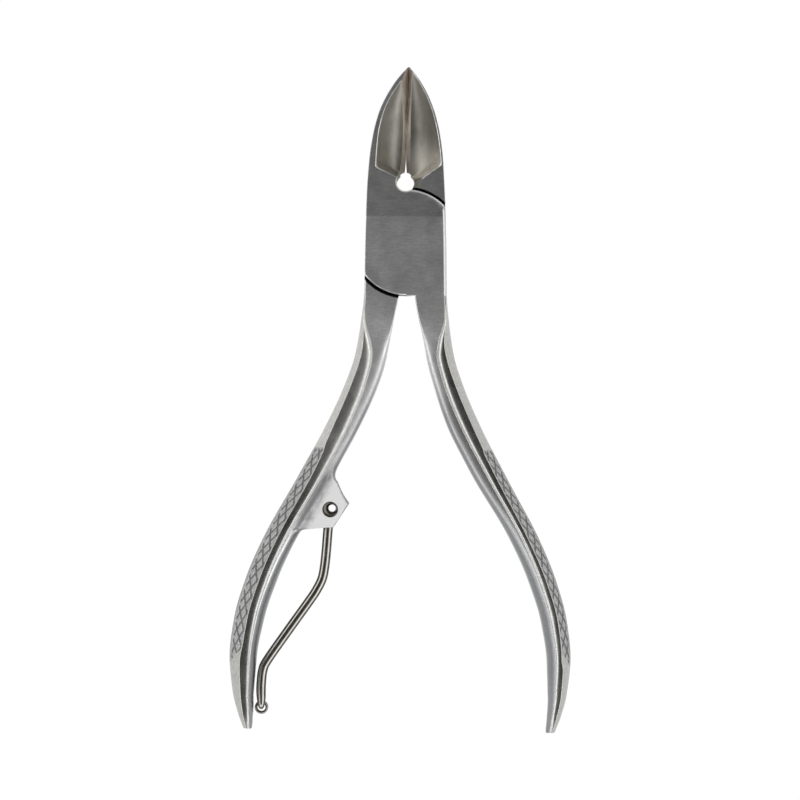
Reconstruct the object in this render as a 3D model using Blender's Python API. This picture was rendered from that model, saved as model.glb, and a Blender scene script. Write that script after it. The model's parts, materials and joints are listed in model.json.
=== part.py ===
"""Plier-type nail clipper (toenail nipper) with a lap joint and a swing-out wire spring.

Frame: the clipper lies on its back with the jaws closed. +Y runs from the pivot to the jaw tip, +Z is the
front face (the side with the hollow-ground jaws) and the origin is on the pivot axis at the underside.
Lengths below are in millimetres and are turned into metres where meshes are made.
"""

import math

import bmesh
import bpy
from mathutils import Matrix, Vector

MM = 0.001

# --- driving dimensions, mm ------------------------------------------------------------------------
JOINT_THICKNESS = 8.0
MID = JOINT_THICKNESS / 2
TAIL_Y = -95.4
TIP_Y = 34.5

BOSS_RADIUS = 10.3  # round end of each half of the lap joint
ARC_GAP = 0.55  # between a boss and the shoulder round it
HALF_GAP = 0.10  # between the two halves' flat faces
BLADE_GAP = 0.03  # between the closed cutting edges
CROTCH_Y = -10.3

KEYHOLE_CENTRE = (-0.3, 11.7)
KEYHOLE_RADIUS = 1.7
KEYHOLE_NECK = (2.05, 13.95)  # width, top

RIVET_RADIUS = 2.3
RIVET_HEAD_RADIUS = 3.6
RIVET_HEAD_DEPTH = 1.3
RIVET_TOP = 6.5
RUNNING_FIT = 0.06

SLOPE_START_Y = 4.9  # the jaws' front face leans back from here to the tip
TIP_FRONT_Z = 4.2
BACK_SLOPE_START_Y = 12.0
TIP_BACK_Z = 1.0
EDGE_HEIGHT = 0.15  # cutting edge above the back face

EAR_CENTRE = (-14.07, -52.31)
EAR_THICKNESS = 5.5
EAR_HOLE_RADIUS = 1.30
EAR_MOUTH_RADIUS = 1.55
EAR_SLOT = 2.2
EAR_EDGE_BREAK = 0.12
EAR_BLEND = 1.2  # the ear grows out of the handle's inner side over this reach
EYE_RADIUS = 2.4
EYE_THICKNESS = 1.6

TUBE_RIVET_RADIUS = 1.24
TUBE_RIVET_MOUTH = 1.47
TUBE_RIVET_BORE = 0.70
BORE_OFFSET = (0.34, 0.20)  # the bore is punched a little off centre

WIRE_RADIUS = 0.95
NECK_RADIUS = 0.5
ROLLER_CENTRE = (-27.06, -91.43)
ROLLER_RADIUS = 1.32
ROLLER_BORE = 0.80
ROLLER_Z = (1.25, 2.95)
AXLE_RISE = 0.2  # the hook sits above the roller's centre, towards the jaws

# Outer silhouette of either half: distance from the centre line at each y.
OUTER = [
    (TAIL_Y, 30.5), (-92.5, 31.6), (-88, 32.75), (-81, 33.4), (-74, 32.65), (-66, 30.45), (-58, 27.1),
    (-46, 20.55), (-36, 15.25), (-28, 11.68), (-22, 9.7), (-16, 8.7), (-10, 8.1), (0, 7.94), (8, 7.7),
    (16, 7.25), (21, 6.6), (25, 5.65), (28, 4.5), (31, 2.88), (33, 1.45), (TIP_Y, 0.1),
]
# The head leans a little to the left of the pivot.
HEAD_SHIFT = [(-8, 0.0), (4, -0.12), (12, -0.24), (24, -0.24), (31, -0.1), (TIP_Y, 0.0)]
# Inward from the outer silhouette: the arris, the ridge and the inner silhouette of each handle.
RIGHT_HANDLE = {
    "arris": [
        (TAIL_Y, 0.55), (-92, 0.92), (-85, 1.37), (-83, 1.5), (-81, 1.85), (-73, 1.9), (-56, 2.25),
        (-44, 2.1), (-41, 2.0), (-40, 1.76), (-31, 1.57), (-21, 1.6), (-17, 0.95), (-15, 0.6), (-12.5, 0.3),
    ],
    "ridge": [
        (TAIL_Y, 1.0), (-92, 1.75), (-85, 2.6), (-79, 2.9), (-60, 3.35), (-36, 3.95), (-23, 3.5),
        (-18.9, 2.45), (-17, 1.6), (-15, 1.0), (-12.5, 0.5),
    ],
    "inner": [
        (TAIL_Y, 1.8), (-94, 2.3), (-91, 3.1), (-87, 3.95), (-82, 4.65), (-70, 5.35), (-56, 5.95),
        (-44, 6.7), (-38, 6.7), (-27, 5.8), (-20, 5.45), (-14, 5.95), (CROTCH_Y, 6.25),
    ],
}
LEFT_HANDLE = {
    "arris": [
        (TAIL_Y, 0.6), (-93, 0.95), (-89.6, 1.45), (-87.6, 1.68), (-85.7, 1.82), (-82, 2.1), (-78, 2.6),
        (-62, 2.85), (-46, 2.65), (-41.5, 2.3), (-39, 1.8), (-31, 1.35), (-21, 1.2), (-17, 0.75),
        (-15, 0.5), (-12.5, 0.3),
    ],
    "ridge": [
        (TAIL_Y, 1.15), (-93, 2.0), (-89, 2.9), (-86, 3.4), (-80, 4.05), (-60, 4.45), (-44, 4.7),
        (-31, 4.3), (-24.5, 3.75), (-21.7, 3.3), (-19.5, 2.55), (-17, 1.45), (-15, 0.9), (-12.5, 0.5),
    ],
    "inner": [
        (TAIL_Y, 1.7), (-94, 2.4), (-91, 3.5), (-87, 4.45), (-82, 5.3), (-70, 6.15), (-55, 6.6),
        (-44, 6.75), (-36, 6.75), (-27, 6.6), (-20, 6.25), (-14, 6.45), (CROTCH_Y, 6.8),
    ],
}
# Heights above the mid-plane along a handle, and how square its inner side is (1 is a box).
RIDGE_HEIGHT = [(TAIL_Y, 1.7), (-92, 2.4), (-85, 3.05), (-75, 3.45), (-60, 3.65), (-45, 3.75), (-14, MID)]
ARRIS_HEIGHT = [
    (TAIL_Y, 1.45), (-92, 2.2), (-85, 2.8), (-78, 3.0), (-60, 3.15), (-50, 3.1), (-40, 3.0), (-30, 2.95),
    (-19, 3.05), (-12.5, 3.85),
]
INNER_SQUARE = [(-90, 0.5), (-70, 0.58), (-58, 0.72), (-44, 0.88), (-30, 0.93), (-20, 0.97), (-12, 0.98)]
OUTER_SQUARE = [(-60, 0.3), (-20, 0.3), (-12.5, 0.96)]
ARRIS_SLOPE = [(-60, 44), (-20, 50), (-12.5, 86)]  # degrees

CONTACT_LINE = [(10, -0.3), (24, -0.28), (27, -0.1), (30, 0.12), (32.5, 0.15), (TIP_Y, 0.0)]

# The hollow-ground dish of each jaw. "end" is a point and the slope of the line that ends it, "rim" is
# the distance inward from the silhouette to its rim, and "ridge" the distance from the contact line out
# to the ridge where the hollow meets the cutting bevel. All distances are from the centre outwards.
DISHES = {
    "left": {
        "end": (2.45, 12.9, 0.5),
        "tip": 31.7,
        "rim": [(14, 1.5), (18, 1.3), (22, 1.05), (28, 0.95), (31.7, 1.1), (34, 0.1)],
        "ridge": [(12, 1.8), (13.1, 1.5), (15, 1.15), (17.5, 0.85), (24, 0.72), (28, 1.15), (31.7, 1.45)],
    },
    "right": {
        "end": (2.95, 12.7, 0.7),
        "tip": 33.4,
        "rim": [(14, 0.5), (28, 0.45), (33, 0.35), (34, 0.1)],
        "ridge": [(11, 2.0), (13.5, 1.2), (16, 0.9), (24, 0.85), (30, 0.5), (32, 0.5), (33.4, 0.68)],
    },
}
KEYHOLE_RELIEF = [(2.95, 12.7), (2.6, 10.3)]  # the line on the right jaw where a 45 degree relief starts
KEYHOLE_CHAMFER = 0.28
RIDGE_ABOVE_BACK = 1.3
DISH_END_REACH = 2.0  # the floor climbs to the end line over this distance
DISH_OVERRUN = 0.25

# The ear's free edge: distance from the centre line down its neck to the nose, then round its heel.
EAR_NECK = [
    (-41.1, 11.1), (-42.3, 11.6), (-43.5, 12.12), (-44.6, 12.5), (-45.5, 12.68), (-46.4, 12.74), (-47.2, 12.62),
    (-48.2, 12.22), (-49.4, 11.62), (-50.5, 10.88), (-51.15, 10.4),
]
EAR_HEEL = [(-59.4, 21.3), (-58.1, 20.45), (-57.2, 19.8), (-56.5, 19.0), (-56.2, 18.0), (-55.75, 13.35)]

WIRE_ROUTE = [
    (-14.25, -54.0), (-14.5, -56.5), (-14.75, -60.4), (-15.05, -63.6), (-15.5, -66.0), (-16.55, -68.2),
    (-17.9, -70.3), (-22.0, -76.2), (-26.0, -82.1), (-26.85, -84.1), (-27.1, -86.4), (-27.14, -88.0),
]
CROWN_STEPS = 8  # points from the mid-plane to the ridge of a section


# --- helpers ---------------------------------------------------------------------------------------
def curve_through(points):
    """A smooth function through (y, value) points that doesn't overshoot between them."""
    points = sorted(points)
    ys = [p[0] for p in points]
    vs = [p[1] for p in points]
    rises = [(vs[i + 1] - vs[i]) / (ys[i + 1] - ys[i]) for i in range(len(ys) - 1)]
    slopes = [rises[0]]
    for before, after in zip(rises, rises[1:]):
        slopes.append(2 * before * after / (before + after) if before * after > 0 else 0.0)
    slopes.append(rises[-1])

    def value(y):
        if y <= ys[0]:
            return vs[0]
        if y >= ys[-1]:
            return vs[-1]
        i = max(k for k in range(len(ys) - 1) if ys[k] <= y)
        h = ys[i + 1] - ys[i]
        t = (y - ys[i]) / h
        return (
            vs[i] * (1 + 2 * t) * (1 - t) ** 2
            + slopes[i] * h * t * (1 - t) ** 2
            + vs[i + 1] * t * t * (3 - 2 * t)
            - slopes[i + 1] * h * t * t * (1 - t)
        )

    return value


def bezier(ends, steps):
    """Points along a Bezier curve, without the last one."""
    found = []
    for k in range(steps):
        t = k / steps
        row = [Vector(p) for p in ends]
        while len(row) > 1:
            row = [a.lerp(b, t) for a, b in zip(row, row[1:])]
        found.append(row[0])
    return found


def between(a, b, t):
    return a + (b - a) * t


def steel(name, colour, roughness):
    material = bpy.data.materials.get(name) or bpy.data.materials.new(name)
    material.use_nodes = True
    shader = material.node_tree.nodes["Principled BSDF"]
    shader.inputs["Base Color"].default_value = (*colour, 1)
    shader.inputs["Metallic"].default_value = 1.0
    shader.inputs["Roughness"].default_value = roughness
    return material


def add_object(name, mesh, material=None):
    obj = bpy.data.objects.new(name, mesh)
    bpy.context.scene.collection.objects.link(obj)
    if material:
        obj.data.materials.append(material)
    return obj


def solid(name, points, faces, material=None):
    """A closed object from points in millimetres, with its faces turned outwards."""
    mesh = bpy.data.meshes.new(name)
    mesh.from_pydata([Vector(p) * MM for p in points], [], faces)
    shape = bmesh.new()
    shape.from_mesh(mesh)
    bmesh.ops.recalc_face_normals(shape, faces=shape.faces)
    shape.to_mesh(mesh)
    shape.free()
    return add_object(name, mesh, material)


def loft(name, rings, material=None):
    """Joins rings of equal length into a solid, and closes both ends."""
    count = len(rings[0])
    points = [p for ring in rings for p in ring]
    faces = []
    for r in range(len(rings) - 1):
        for k in range(count):
            a, b = r * count + k, r * count + (k + 1) % count
            faces.append((a, b, b + count, a + count))
    faces.append(tuple(range(count)))
    faces.append(tuple(range(len(points) - count, len(points))))
    return solid(name, points, faces, material)


def prism(name, outline, low, high, material=None):
    return loft(name, [[(x, y, z) for x, y in outline] for z in (low, high)], material)


def turned(name, centre, profile, segments=48, material=None):
    """A solid of revolution about a vertical line; profile is (radius, z) from one end to the other."""
    rings = []
    for radius, z in profile:
        turns = [2 * math.pi * k / segments for k in range(segments)]
        rings.append([(centre[0] + radius * math.cos(a), centre[1] + radius * math.sin(a), z) for a in turns])
    return loft(name, rings, material)


def turned_ring(name, centre, profile, segments=48, material=None, bore_shift=()):
    """A turned ring: profile is a closed loop of (radius, z). bore_shift moves the points it lists."""
    points, faces = [], []
    loop = len(profile)
    for k in range(segments):
        angle = 2 * math.pi * k / segments
        for index, (radius, z) in enumerate(profile):
            dx, dy = BORE_OFFSET if index in bore_shift else (0, 0)
            points.append(
                (centre[0] + dx + radius * math.cos(angle), centre[1] + dy + radius * math.sin(angle), z)
            )
    for k in range(segments):
        for index in range(loop):
            a, b = k * loop + index, k * loop + (index + 1) % loop
            step = loop if k + 1 < segments else -k * loop
            faces.append((a, b, b + step, a + step))
    return solid(name, points, faces, material)


def arc(centre, radius, start, end, steps):
    """Points on an arc between two angles in degrees, both ends included."""
    angles = [math.radians(between(start, end, k / steps)) for k in range(steps + 1)]
    return [(centre[0] + radius * math.cos(a), centre[1] + radius * math.sin(a)) for a in angles]


def combine(obj, other, operation):
    other.hide_render = True
    other.display_type = "WIRE"
    modifier = obj.modifiers.new(f"{operation.lower()} {other.name}", "BOOLEAN")
    modifier.operation = operation
    modifier.solver = "EXACT"
    modifier.object = other


def smooth(obj, degrees):
    obj.data.shade_smooth()
    obj.data.set_sharp_from_angle(angle=math.radians(degrees))


def turn_over(obj):
    """Turns a solid half a turn about the joint's long axis at mid-thickness."""
    turn = Matrix.Translation((0, 0, MID * MM)) @ Matrix.Rotation(math.pi, 4, "Y")
    obj.data.transform(turn @ Matrix.Translation((0, 0, -MID * MM)))
    return obj


# --- the two levers --------------------------------------------------------------------------------
outer = curve_through(OUTER)
head_shift = curve_through(HEAD_SHIFT)
ear_neck = curve_through(EAR_NECK)
ear_heel = curve_through(EAR_HEEL)
contact = curve_through(CONTACT_LINE)
ridge_height = curve_through(RIDGE_HEIGHT)
arris_height = curve_through(ARRIS_HEIGHT)
inner_square = curve_through(INNER_SQUARE)
outer_square = curve_through(OUTER_SQUARE)
arris_slope = curve_through(ARRIS_SLOPE)


def front_z(y):
    lean = max(0.0, y - SLOPE_START_Y) / (TIP_Y - SLOPE_START_Y)
    return between(JOINT_THICKNESS, TIP_FRONT_Z, lean)


def back_z(y):
    lean = max(0.0, y - BACK_SLOPE_START_Y) / (TIP_Y - BACK_SLOPE_START_Y)
    return between(0.0, TIP_BACK_Z, lean)


def ear_edge(y):
    """Distance of the ear's free edge from the centre line; beyond the ear it lies inside the handle."""
    nose, heel = EAR_NECK[-1], EAR_HEEL[-1]
    if not EAR_HEEL[0][0] < y < EAR_NECK[0][0]:
        return 50.0
    if y >= nose[0]:
        return ear_neck(y)
    if y >= heel[0]:
        return between(nose[1], heel[1], (y - nose[0]) / (heel[0] - nose[0]))
    return ear_heel(y)


def blade_gap(y):
    """The closed edges meet above the slit and part slightly towards the keyhole."""
    slit_top = 17.5
    return BLADE_GAP + 0.37 * (max(0.0, slit_top - y) / 3.2) ** 2


def handle_crown(inner, ridge, ridge_z, square):
    """The inner side of a section, from the mid-plane up over its edge to the ridge."""
    corners = [(inner, 0, 0), (inner, 0, ridge_z * square), (between(ridge, inner, square), 0, ridge_z)]
    return bezier([*corners, (ridge, 0, ridge_z)], CROWN_STEPS)


def ear_crown(free_edge, ridge, ridge_z):
    """As handle_crown, but up the ear's edge, across its flat cheek and up a fillet to the ridge."""
    half, away = EAR_THICKNESS / 2, math.copysign(1.0, free_edge - ridge)
    foot = away * min(2.4, 0.6 * abs(free_edge - ridge))
    wall = [(free_edge, 0, 0), (free_edge, 0, half * 0.5), (free_edge, 0, half - EAR_EDGE_BREAK)]
    wall.append((free_edge - away * EAR_EDGE_BREAK, 0, half))
    fillet = [(ridge + foot, 0, half), (ridge + foot * 0.6, 0, half), (ridge + foot * 0.4, 0, ridge_z)]
    return [Vector(p) for p in wall] + bezier([*fillet, (ridge, 0, ridge_z)], CROWN_STEPS - len(wall))


def flank(ridge, arris, edge, ridge_z, arris_z, square, slope):
    """From the ridge down the hollow to the arris, then round the outer side to the mid-plane."""
    angle = math.radians(slope)
    run = 0.4 * math.hypot(edge - arris, arris_z)
    direction = math.copysign(1.0, edge - arris)
    hollow = [(ridge, 0, ridge_z), (between(ridge, arris, 0.5), 0, arris_z), (arris, 0, arris_z)]
    side = [
        (arris, 0, arris_z), (arris + direction * run * math.cos(angle), 0, arris_z - run * math.sin(angle)),
        (edge, 0, arris_z * square), (edge, 0, 0),
    ]
    return bezier(hollow, 2) + bezier(side, 4) + [Vector((edge, 0, 0))]


def ring_of(y, upper, lower):
    """A closed section from its halves above and below the mid-plane."""
    ring = [(p.x, y, MID + p.z) for p in upper]
    return ring + [(p.x, y, MID - p.z) for p in reversed(lower[1:-1])]


def silhouette(y, side):
    return side * outer(y) + head_shift(y)


def handle_section(y, side, profile):
    """side is +1 for the right handle and -1 for the left one."""
    edge = outer(y)
    inner, ridge, arris = (side * (edge - profile[key](y)) for key in ("inner", "ridge", "arris"))
    crown = handle_crown(inner, ridge, ridge_height(y), inner_square(y))
    if side < 0:
        reach = inner + ear_edge(y)
        crown_at_ear = ear_crown(-ear_edge(y), ridge, ridge_height(y))
        share = min(1.0, max(0.0, -reach / EAR_BLEND))
        share = share * share * (3 - 2 * share)
        crown = [a.lerp(b, share) for a, b in zip(crown, crown_at_ear)]
    half = crown + flank(
        ridge, arris, side * edge, ridge_height(y), arris_height(y), outer_square(y), arris_slope(y)
    )
    return ring_of(y, half, half)


def block_section(y, inner, edge):
    """A nearly square section, as in the joint and the jaws."""
    small = min(0.15, 0.2 * abs(edge - inner))
    step = math.copysign(small, edge - inner)
    halves = []
    for height in (front_z(y) - MID, MID - back_z(y)):
        crown = handle_crown(inner, edge - 2 * step, height, 0.96)
        halves.append(crown + flank(edge - 2 * step, edge - step, edge, height, height - small, 0.77, 86))
    return ring_of(y, *halves)


def lever_blank(name, side, handle, material):
    """A whole lever before the joint is cut: handle on one side, jaw on the other."""
    profile = {key: curve_through(points) for key, points in handle.items()}
    tail = [TAIL_Y, -95.1, -94.4, -93.2, -91.5, -89, -86, -83.4, -82.6, -80, -76, -72, -68, -65, -62, -59.4]
    grip = [-58.8, -58.1, -57.6, -57.2, -56.8, -56.5, -56.2, -55.95, -55.75, -54.3, -52.7, -51.15, -50.5]
    neck = [-49.4, -48.2, -47.2, -46.4, -45.5, -44.6, -43.5, -42.3, -41.1]
    shank = [-40, -37, -34, -31, -28, -25, -22, -20, -18, -16.5, -15, -13.5]
    rings = [handle_section(y, side, profile) for y in [*tail, *grip, *neck, *shank, -12.5, CROTCH_Y - 0.01]]
    for y in (CROTCH_Y, -5, 0, SLOPE_START_Y, 8, BOSS_RADIUS + 0.01):
        rings.append(block_section(y, silhouette(y, -side), silhouette(y, side)))
    for y in (BOSS_RADIUS + 0.02, 12, 14, 16, 17.5, 20, 22, 24, 26, 28, 30, 31.5, 33, 34, 34.4):
        meeting = contact(y) - side * blade_gap(y) / 2
        rings.append(block_section(y, silhouette(y, -side), meeting))
    return loft(name, rings, material)


def other_side_cutters(name):
    """What the front lever gives up: the back half of the boss, and the other jaw's and handle's shoulders."""
    reach = 14.0
    wall = BOSS_RADIUS + ARC_GAP
    pocket = turned(f"{name}_pocket", (0, 0), [(wall, -1), (wall, MID + HALF_GAP / 2)], 96)
    upper = arc((0, 0), BOSS_RADIUS, 2, 93, 24)
    upper += [(-0.6, 10.6), (-0.6, 10.9), (1.0, reach), (reach, reach), (reach, 0.3)]
    lower = arc((0, 0), BOSS_RADIUS, 182, 271, 24)
    lower += [(0.2, -reach), (-reach, -reach), (-reach, -0.3)]
    return [
        pocket,
        prism(f"{name}_upper", upper, -1, JOINT_THICKNESS + 1),
        prism(f"{name}_lower", lower, -1, JOINT_THICKNESS + 1),
    ]


def keyhole_outline(spread):
    """The keyhole in plan, grown by spread."""
    x, y = KEYHOLE_CENTRE
    width, top = KEYHOLE_NECK
    radius, half = KEYHOLE_RADIUS + spread, width / 2 + spread
    rise = math.degrees(math.acos(half / radius))
    outline = arc(KEYHOLE_CENTRE, radius, 180 - rise, 360 + rise, 32)
    shoulder, crown = top - 0.4 + spread * 0.4, top + spread
    return outline + [(x + half, shoulder), (x + half / 2, crown), (x - half / 2, crown), (x - half, shoulder)]


def keyhole_cutter(name):
    """The keyhole, with a chamfer that follows the front face."""
    plain, wide = keyhole_outline(0), keyhole_outline(2 * KEYHOLE_CHAMFER)
    rings = [
        [(x, y, -1) for x, y in plain],
        [(x, y, front_z(y) - KEYHOLE_CHAMFER) for x, y in plain],
        [(x, y, front_z(y) + KEYHOLE_CHAMFER) for x, y in wide],
    ]
    return loft(name, rings)


def relief_cutter(name):
    """A 45 degree relief on the right jaw, from a line on the front face down to the keyhole."""
    reach = 1.8
    (x1, y1), (x2, y2) = KEYHOLE_RELIEF
    rings = []
    for x, y in ((x1, y1), (x2, y2)):
        top = front_z(y)
        rings.append([(x + 0.4, y, top + 0.4), (x - reach, y, top - reach), (x - reach, y, top + 1)])
    return loft(name, rings)


class Dish:
    """One jaw's hollow and its cutting bevel. side is -1 for the left jaw."""

    def __init__(self, side):
        self.side = side
        shape = DISHES["left" if side < 0 else "right"]
        self.rim, self.ridge = curve_through(shape["rim"]), curve_through(shape["ridge"])
        self.end_x, self.end_y, self.end_slope = shape["end"]
        self.tip_y = shape["tip"]

    def rim_x(self, y):
        return silhouette(y, self.side) - self.side * self.rim(y)

    def ridge_x(self, y):
        """Above the dish's tip only the bevel is left, and it runs out to the rim."""
        if y > self.tip_y:
            return self.rim_x(y)
        return contact(y) + self.side * self.ridge(y)

    def end_line(self, x):
        return self.end_y + self.end_slope * (abs(x) - self.end_x)

    def depth(self, y, from_end):
        """How far the ridge lies below the front face."""
        if y > self.tip_y:
            return 0.0
        full = front_z(y) - back_z(y) - RIDGE_ABOVE_BACK
        toe = (y - self.end_y) / (self.tip_y - self.end_y)
        return full * wall_share(from_end / DISH_END_REACH) * (1 - max(0.0, toe) ** 6)

    def hollow(self, name, columns, rows):
        """Cuts the concave floor, from outside the rim to just past the ridge."""
        low_rim = self.end_line(self.rim_x(14.2))
        low_ridge = self.end_line(self.ridge_x(12.2))
        rim_out, ridge_out = 0.3 * self.side, -0.3 * self.side
        grid = []
        for j in range(-1, rows + 1):
            v = max(0, j / rows) ** 1.25
            y_rim, y_ridge = between(low_rim, self.tip_y, v), between(low_ridge, self.tip_y, v)
            before = DISH_OVERRUN if j < 0 else 0.0
            row = []
            for i in range(columns + 1):
                u = i / columns
                y = between(y_rim, y_ridge, u)
                x = between(self.rim_x(y_rim), self.ridge_x(y_ridge) - 0.05 * self.side, u)
                down = self.depth(y, y - self.end_line(x)) * wall_share(u)
                row.append((x, y - before, front_z(y) - down + 2 * before))
            x, y, z = row[0]
            row.insert(0, (x + rim_out, y, z + abs(rim_out) * 2))
            x, y, z = row[-1]
            row.append((x + ridge_out, y, z + 0.02))
            grid.append(row)
        return heightfield(name, grid, JOINT_THICKNESS + 1.5)

    def bevel(self, name):
        """Cuts the steep face from the ridge down to the cutting edge, on past the contact line."""
        rings = []
        for y in (12.0, 12.6, 13.2, 14, 15, 16, 17.5, 20, 22, 24, 26, 28, 29.5, 30.5, 31.3, 32.2, 33, 33.6, 34.1):
            x = self.ridge_x(y)
            top = front_z(y) - self.depth(y, 3 * DISH_END_REACH) + 0.02
            edge_z, meeting = back_z(y) + EDGE_HEIGHT, contact(y)
            slope = (top - edge_z) / abs(x - meeting)
            beyond = 0.6
            low = (meeting - self.side * beyond, y, max(edge_z - slope * beyond, -0.9))
            high = JOINT_THICKNESS + 2
            rings.append([(x, y, top), (meeting, y, edge_z), low, (low[0], y, high), (x, y, high)])
        return loft(name, rings)


def wall_share(u, power=2.3):
    """Rises from 0 steeply at first and levels out at 1, like the floor of a ground hollow."""
    return 1 - (1 - min(1.0, max(0.0, u))) ** power


def heightfield(name, grid, lid):
    """A solid between a grid of points, its floor, and a flat lid."""
    wide, under = len(grid[0]), len(grid) * len(grid[0])
    floor = [p for row in grid for p in row]
    points = floor + [(x, y, lid) for x, y, _ in floor]
    faces = []
    for j in range(len(grid) - 1):
        for i in range(wide - 1):
            a = j * wide + i
            faces.append((a, a + 1, a + wide + 1, a + wide))
            faces.append(tuple(under + k for k in (a, a + wide, a + wide + 1, a + 1)))
    last = (len(grid) - 1) * wide
    edge = list(range(wide)) + list(range(2 * wide - 1, last + wide, wide))
    edge += list(range(last + wide - 2, last - 1, -1)) + list(range(last - wide, 0, -wide))
    faces += [(a, b, under + b, under + a) for a, b in zip(edge, edge[1:] + edge[:1])]
    return solid(name, points, faces)


def rivet_profile(clearance, top):
    return [
        (RIVET_HEAD_RADIUS + clearance, 0.0),
        (RIVET_RADIUS + clearance, RIVET_HEAD_DEPTH),
        (RIVET_RADIUS + clearance, top),
    ]


def front_lever(material):
    """Left jaw, front half of the joint and right handle."""
    lever = lever_blank("front_lever", 1, RIGHT_HANDLE, material)
    for cutter in other_side_cutters("front_cut"):
        combine(lever, cutter, "DIFFERENCE")
    combine(lever, keyhole_cutter("front_keyhole"), "DIFFERENCE")
    dish = Dish(-1)
    combine(lever, dish.hollow("left_hollow", 8, 16), "DIFFERENCE")
    combine(lever, dish.bevel("left_bevel"), "DIFFERENCE")
    bore = [(RIVET_RADIUS + RUNNING_FIT, -1.0), (RIVET_RADIUS + RUNNING_FIT, RIVET_TOP + 0.3)]
    combine(lever, turned("front_bore", (0, 0), bore), "DIFFERENCE")
    smooth(lever, 32)
    return lever


def ear_slot(name):
    """Room for the wire's eye and for the wire as it swings from the handle to the far side."""
    half_width, eye_room, reach = 1.25, EYE_RADIUS + 0.3, 12.0
    stowed, swung = -99.0, -6.0
    flank = math.degrees(math.asin(half_width / eye_room))
    outline = arc(EAR_CENTRE, eye_room, swung + flank, stowed + 360 - flank, 20)
    for angle, across in ((stowed, -half_width), (swung, half_width)):
        a = math.radians(angle)
        outline.append(
            (
                EAR_CENTRE[0] + reach * math.cos(a) - across * math.sin(a),
                EAR_CENTRE[1] + reach * math.sin(a) + across * math.cos(a),
            )
        )
    return prism(name, outline, MID - EAR_SLOT / 2, MID + EAR_SLOT / 2)


def ear_hole(name):
    low, high = MID - EAR_THICKNESS / 2, MID + EAR_THICKNESS / 2
    mouth, bore, depth = EAR_MOUTH_RADIUS, EAR_HOLE_RADIUS, 0.5
    profile = [
        (mouth + 0.5, low - 0.5), (mouth, low), (bore, low + depth),
        (bore, high - depth), (mouth, high), (mouth + 0.5, high + 0.5),
    ]
    return turned(name, EAR_CENTRE, profile)


def back_lever(material):
    """Right jaw, back half of the joint and left handle with the spring's ear."""
    lever = lever_blank("back_lever", -1, LEFT_HANDLE, material)
    for cutter in other_side_cutters("back_cut"):
        combine(lever, turn_over(cutter), "DIFFERENCE")
    combine(lever, keyhole_cutter("back_keyhole"), "DIFFERENCE")
    dish = Dish(1)
    combine(lever, dish.hollow("right_hollow", 8, 16), "DIFFERENCE")
    combine(lever, dish.bevel("right_bevel"), "DIFFERENCE")
    combine(lever, relief_cutter("relief"), "DIFFERENCE")
    combine(lever, turned("countersink", (0, 0), [(RIVET_HEAD_RADIUS + RUNNING_FIT + 0.9, -0.93)]
                          + rivet_profile(RUNNING_FIT, JOINT_THICKNESS)), "DIFFERENCE")
    combine(lever, ear_slot("ear_slot"), "DIFFERENCE")
    combine(lever, ear_hole("ear_hole"), "DIFFERENCE")
    smooth(lever, 32)
    return lever


# --- pivot, spring and roller ----------------------------------------------------------------------
def pivot_rivet(material):
    """Flush countersunk head at the back; the shank is set in the front lever's blind hole."""
    rivet = turned("pivot_rivet", (0, 0), rivet_profile(0.0, RIVET_TOP), 48, material)
    smooth(rivet, 32)
    return rivet


def spring_rivet(material):
    """Tubular rivet through the ear, its ends flared into the cheeks' countersinks."""
    low, high = MID - EAR_THICKNESS / 2, MID + EAR_THICKNESS / 2
    flare, funnel, lip = 0.5, 1.5, 0.06
    profile = [
        (TUBE_RIVET_MOUTH, low), (TUBE_RIVET_RADIUS, low + flare), (TUBE_RIVET_RADIUS, high - flare),
        (TUBE_RIVET_MOUTH, high), (TUBE_RIVET_MOUTH - lip, high), (TUBE_RIVET_BORE, high - funnel),
        (TUBE_RIVET_BORE, low + funnel), (TUBE_RIVET_MOUTH - lip, low),
    ]
    rivet = turned_ring("spring_rivet", EAR_CENTRE, profile, 32, material, bore_shift=(5, 6))
    smooth(rivet, 32)
    return rivet


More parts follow.
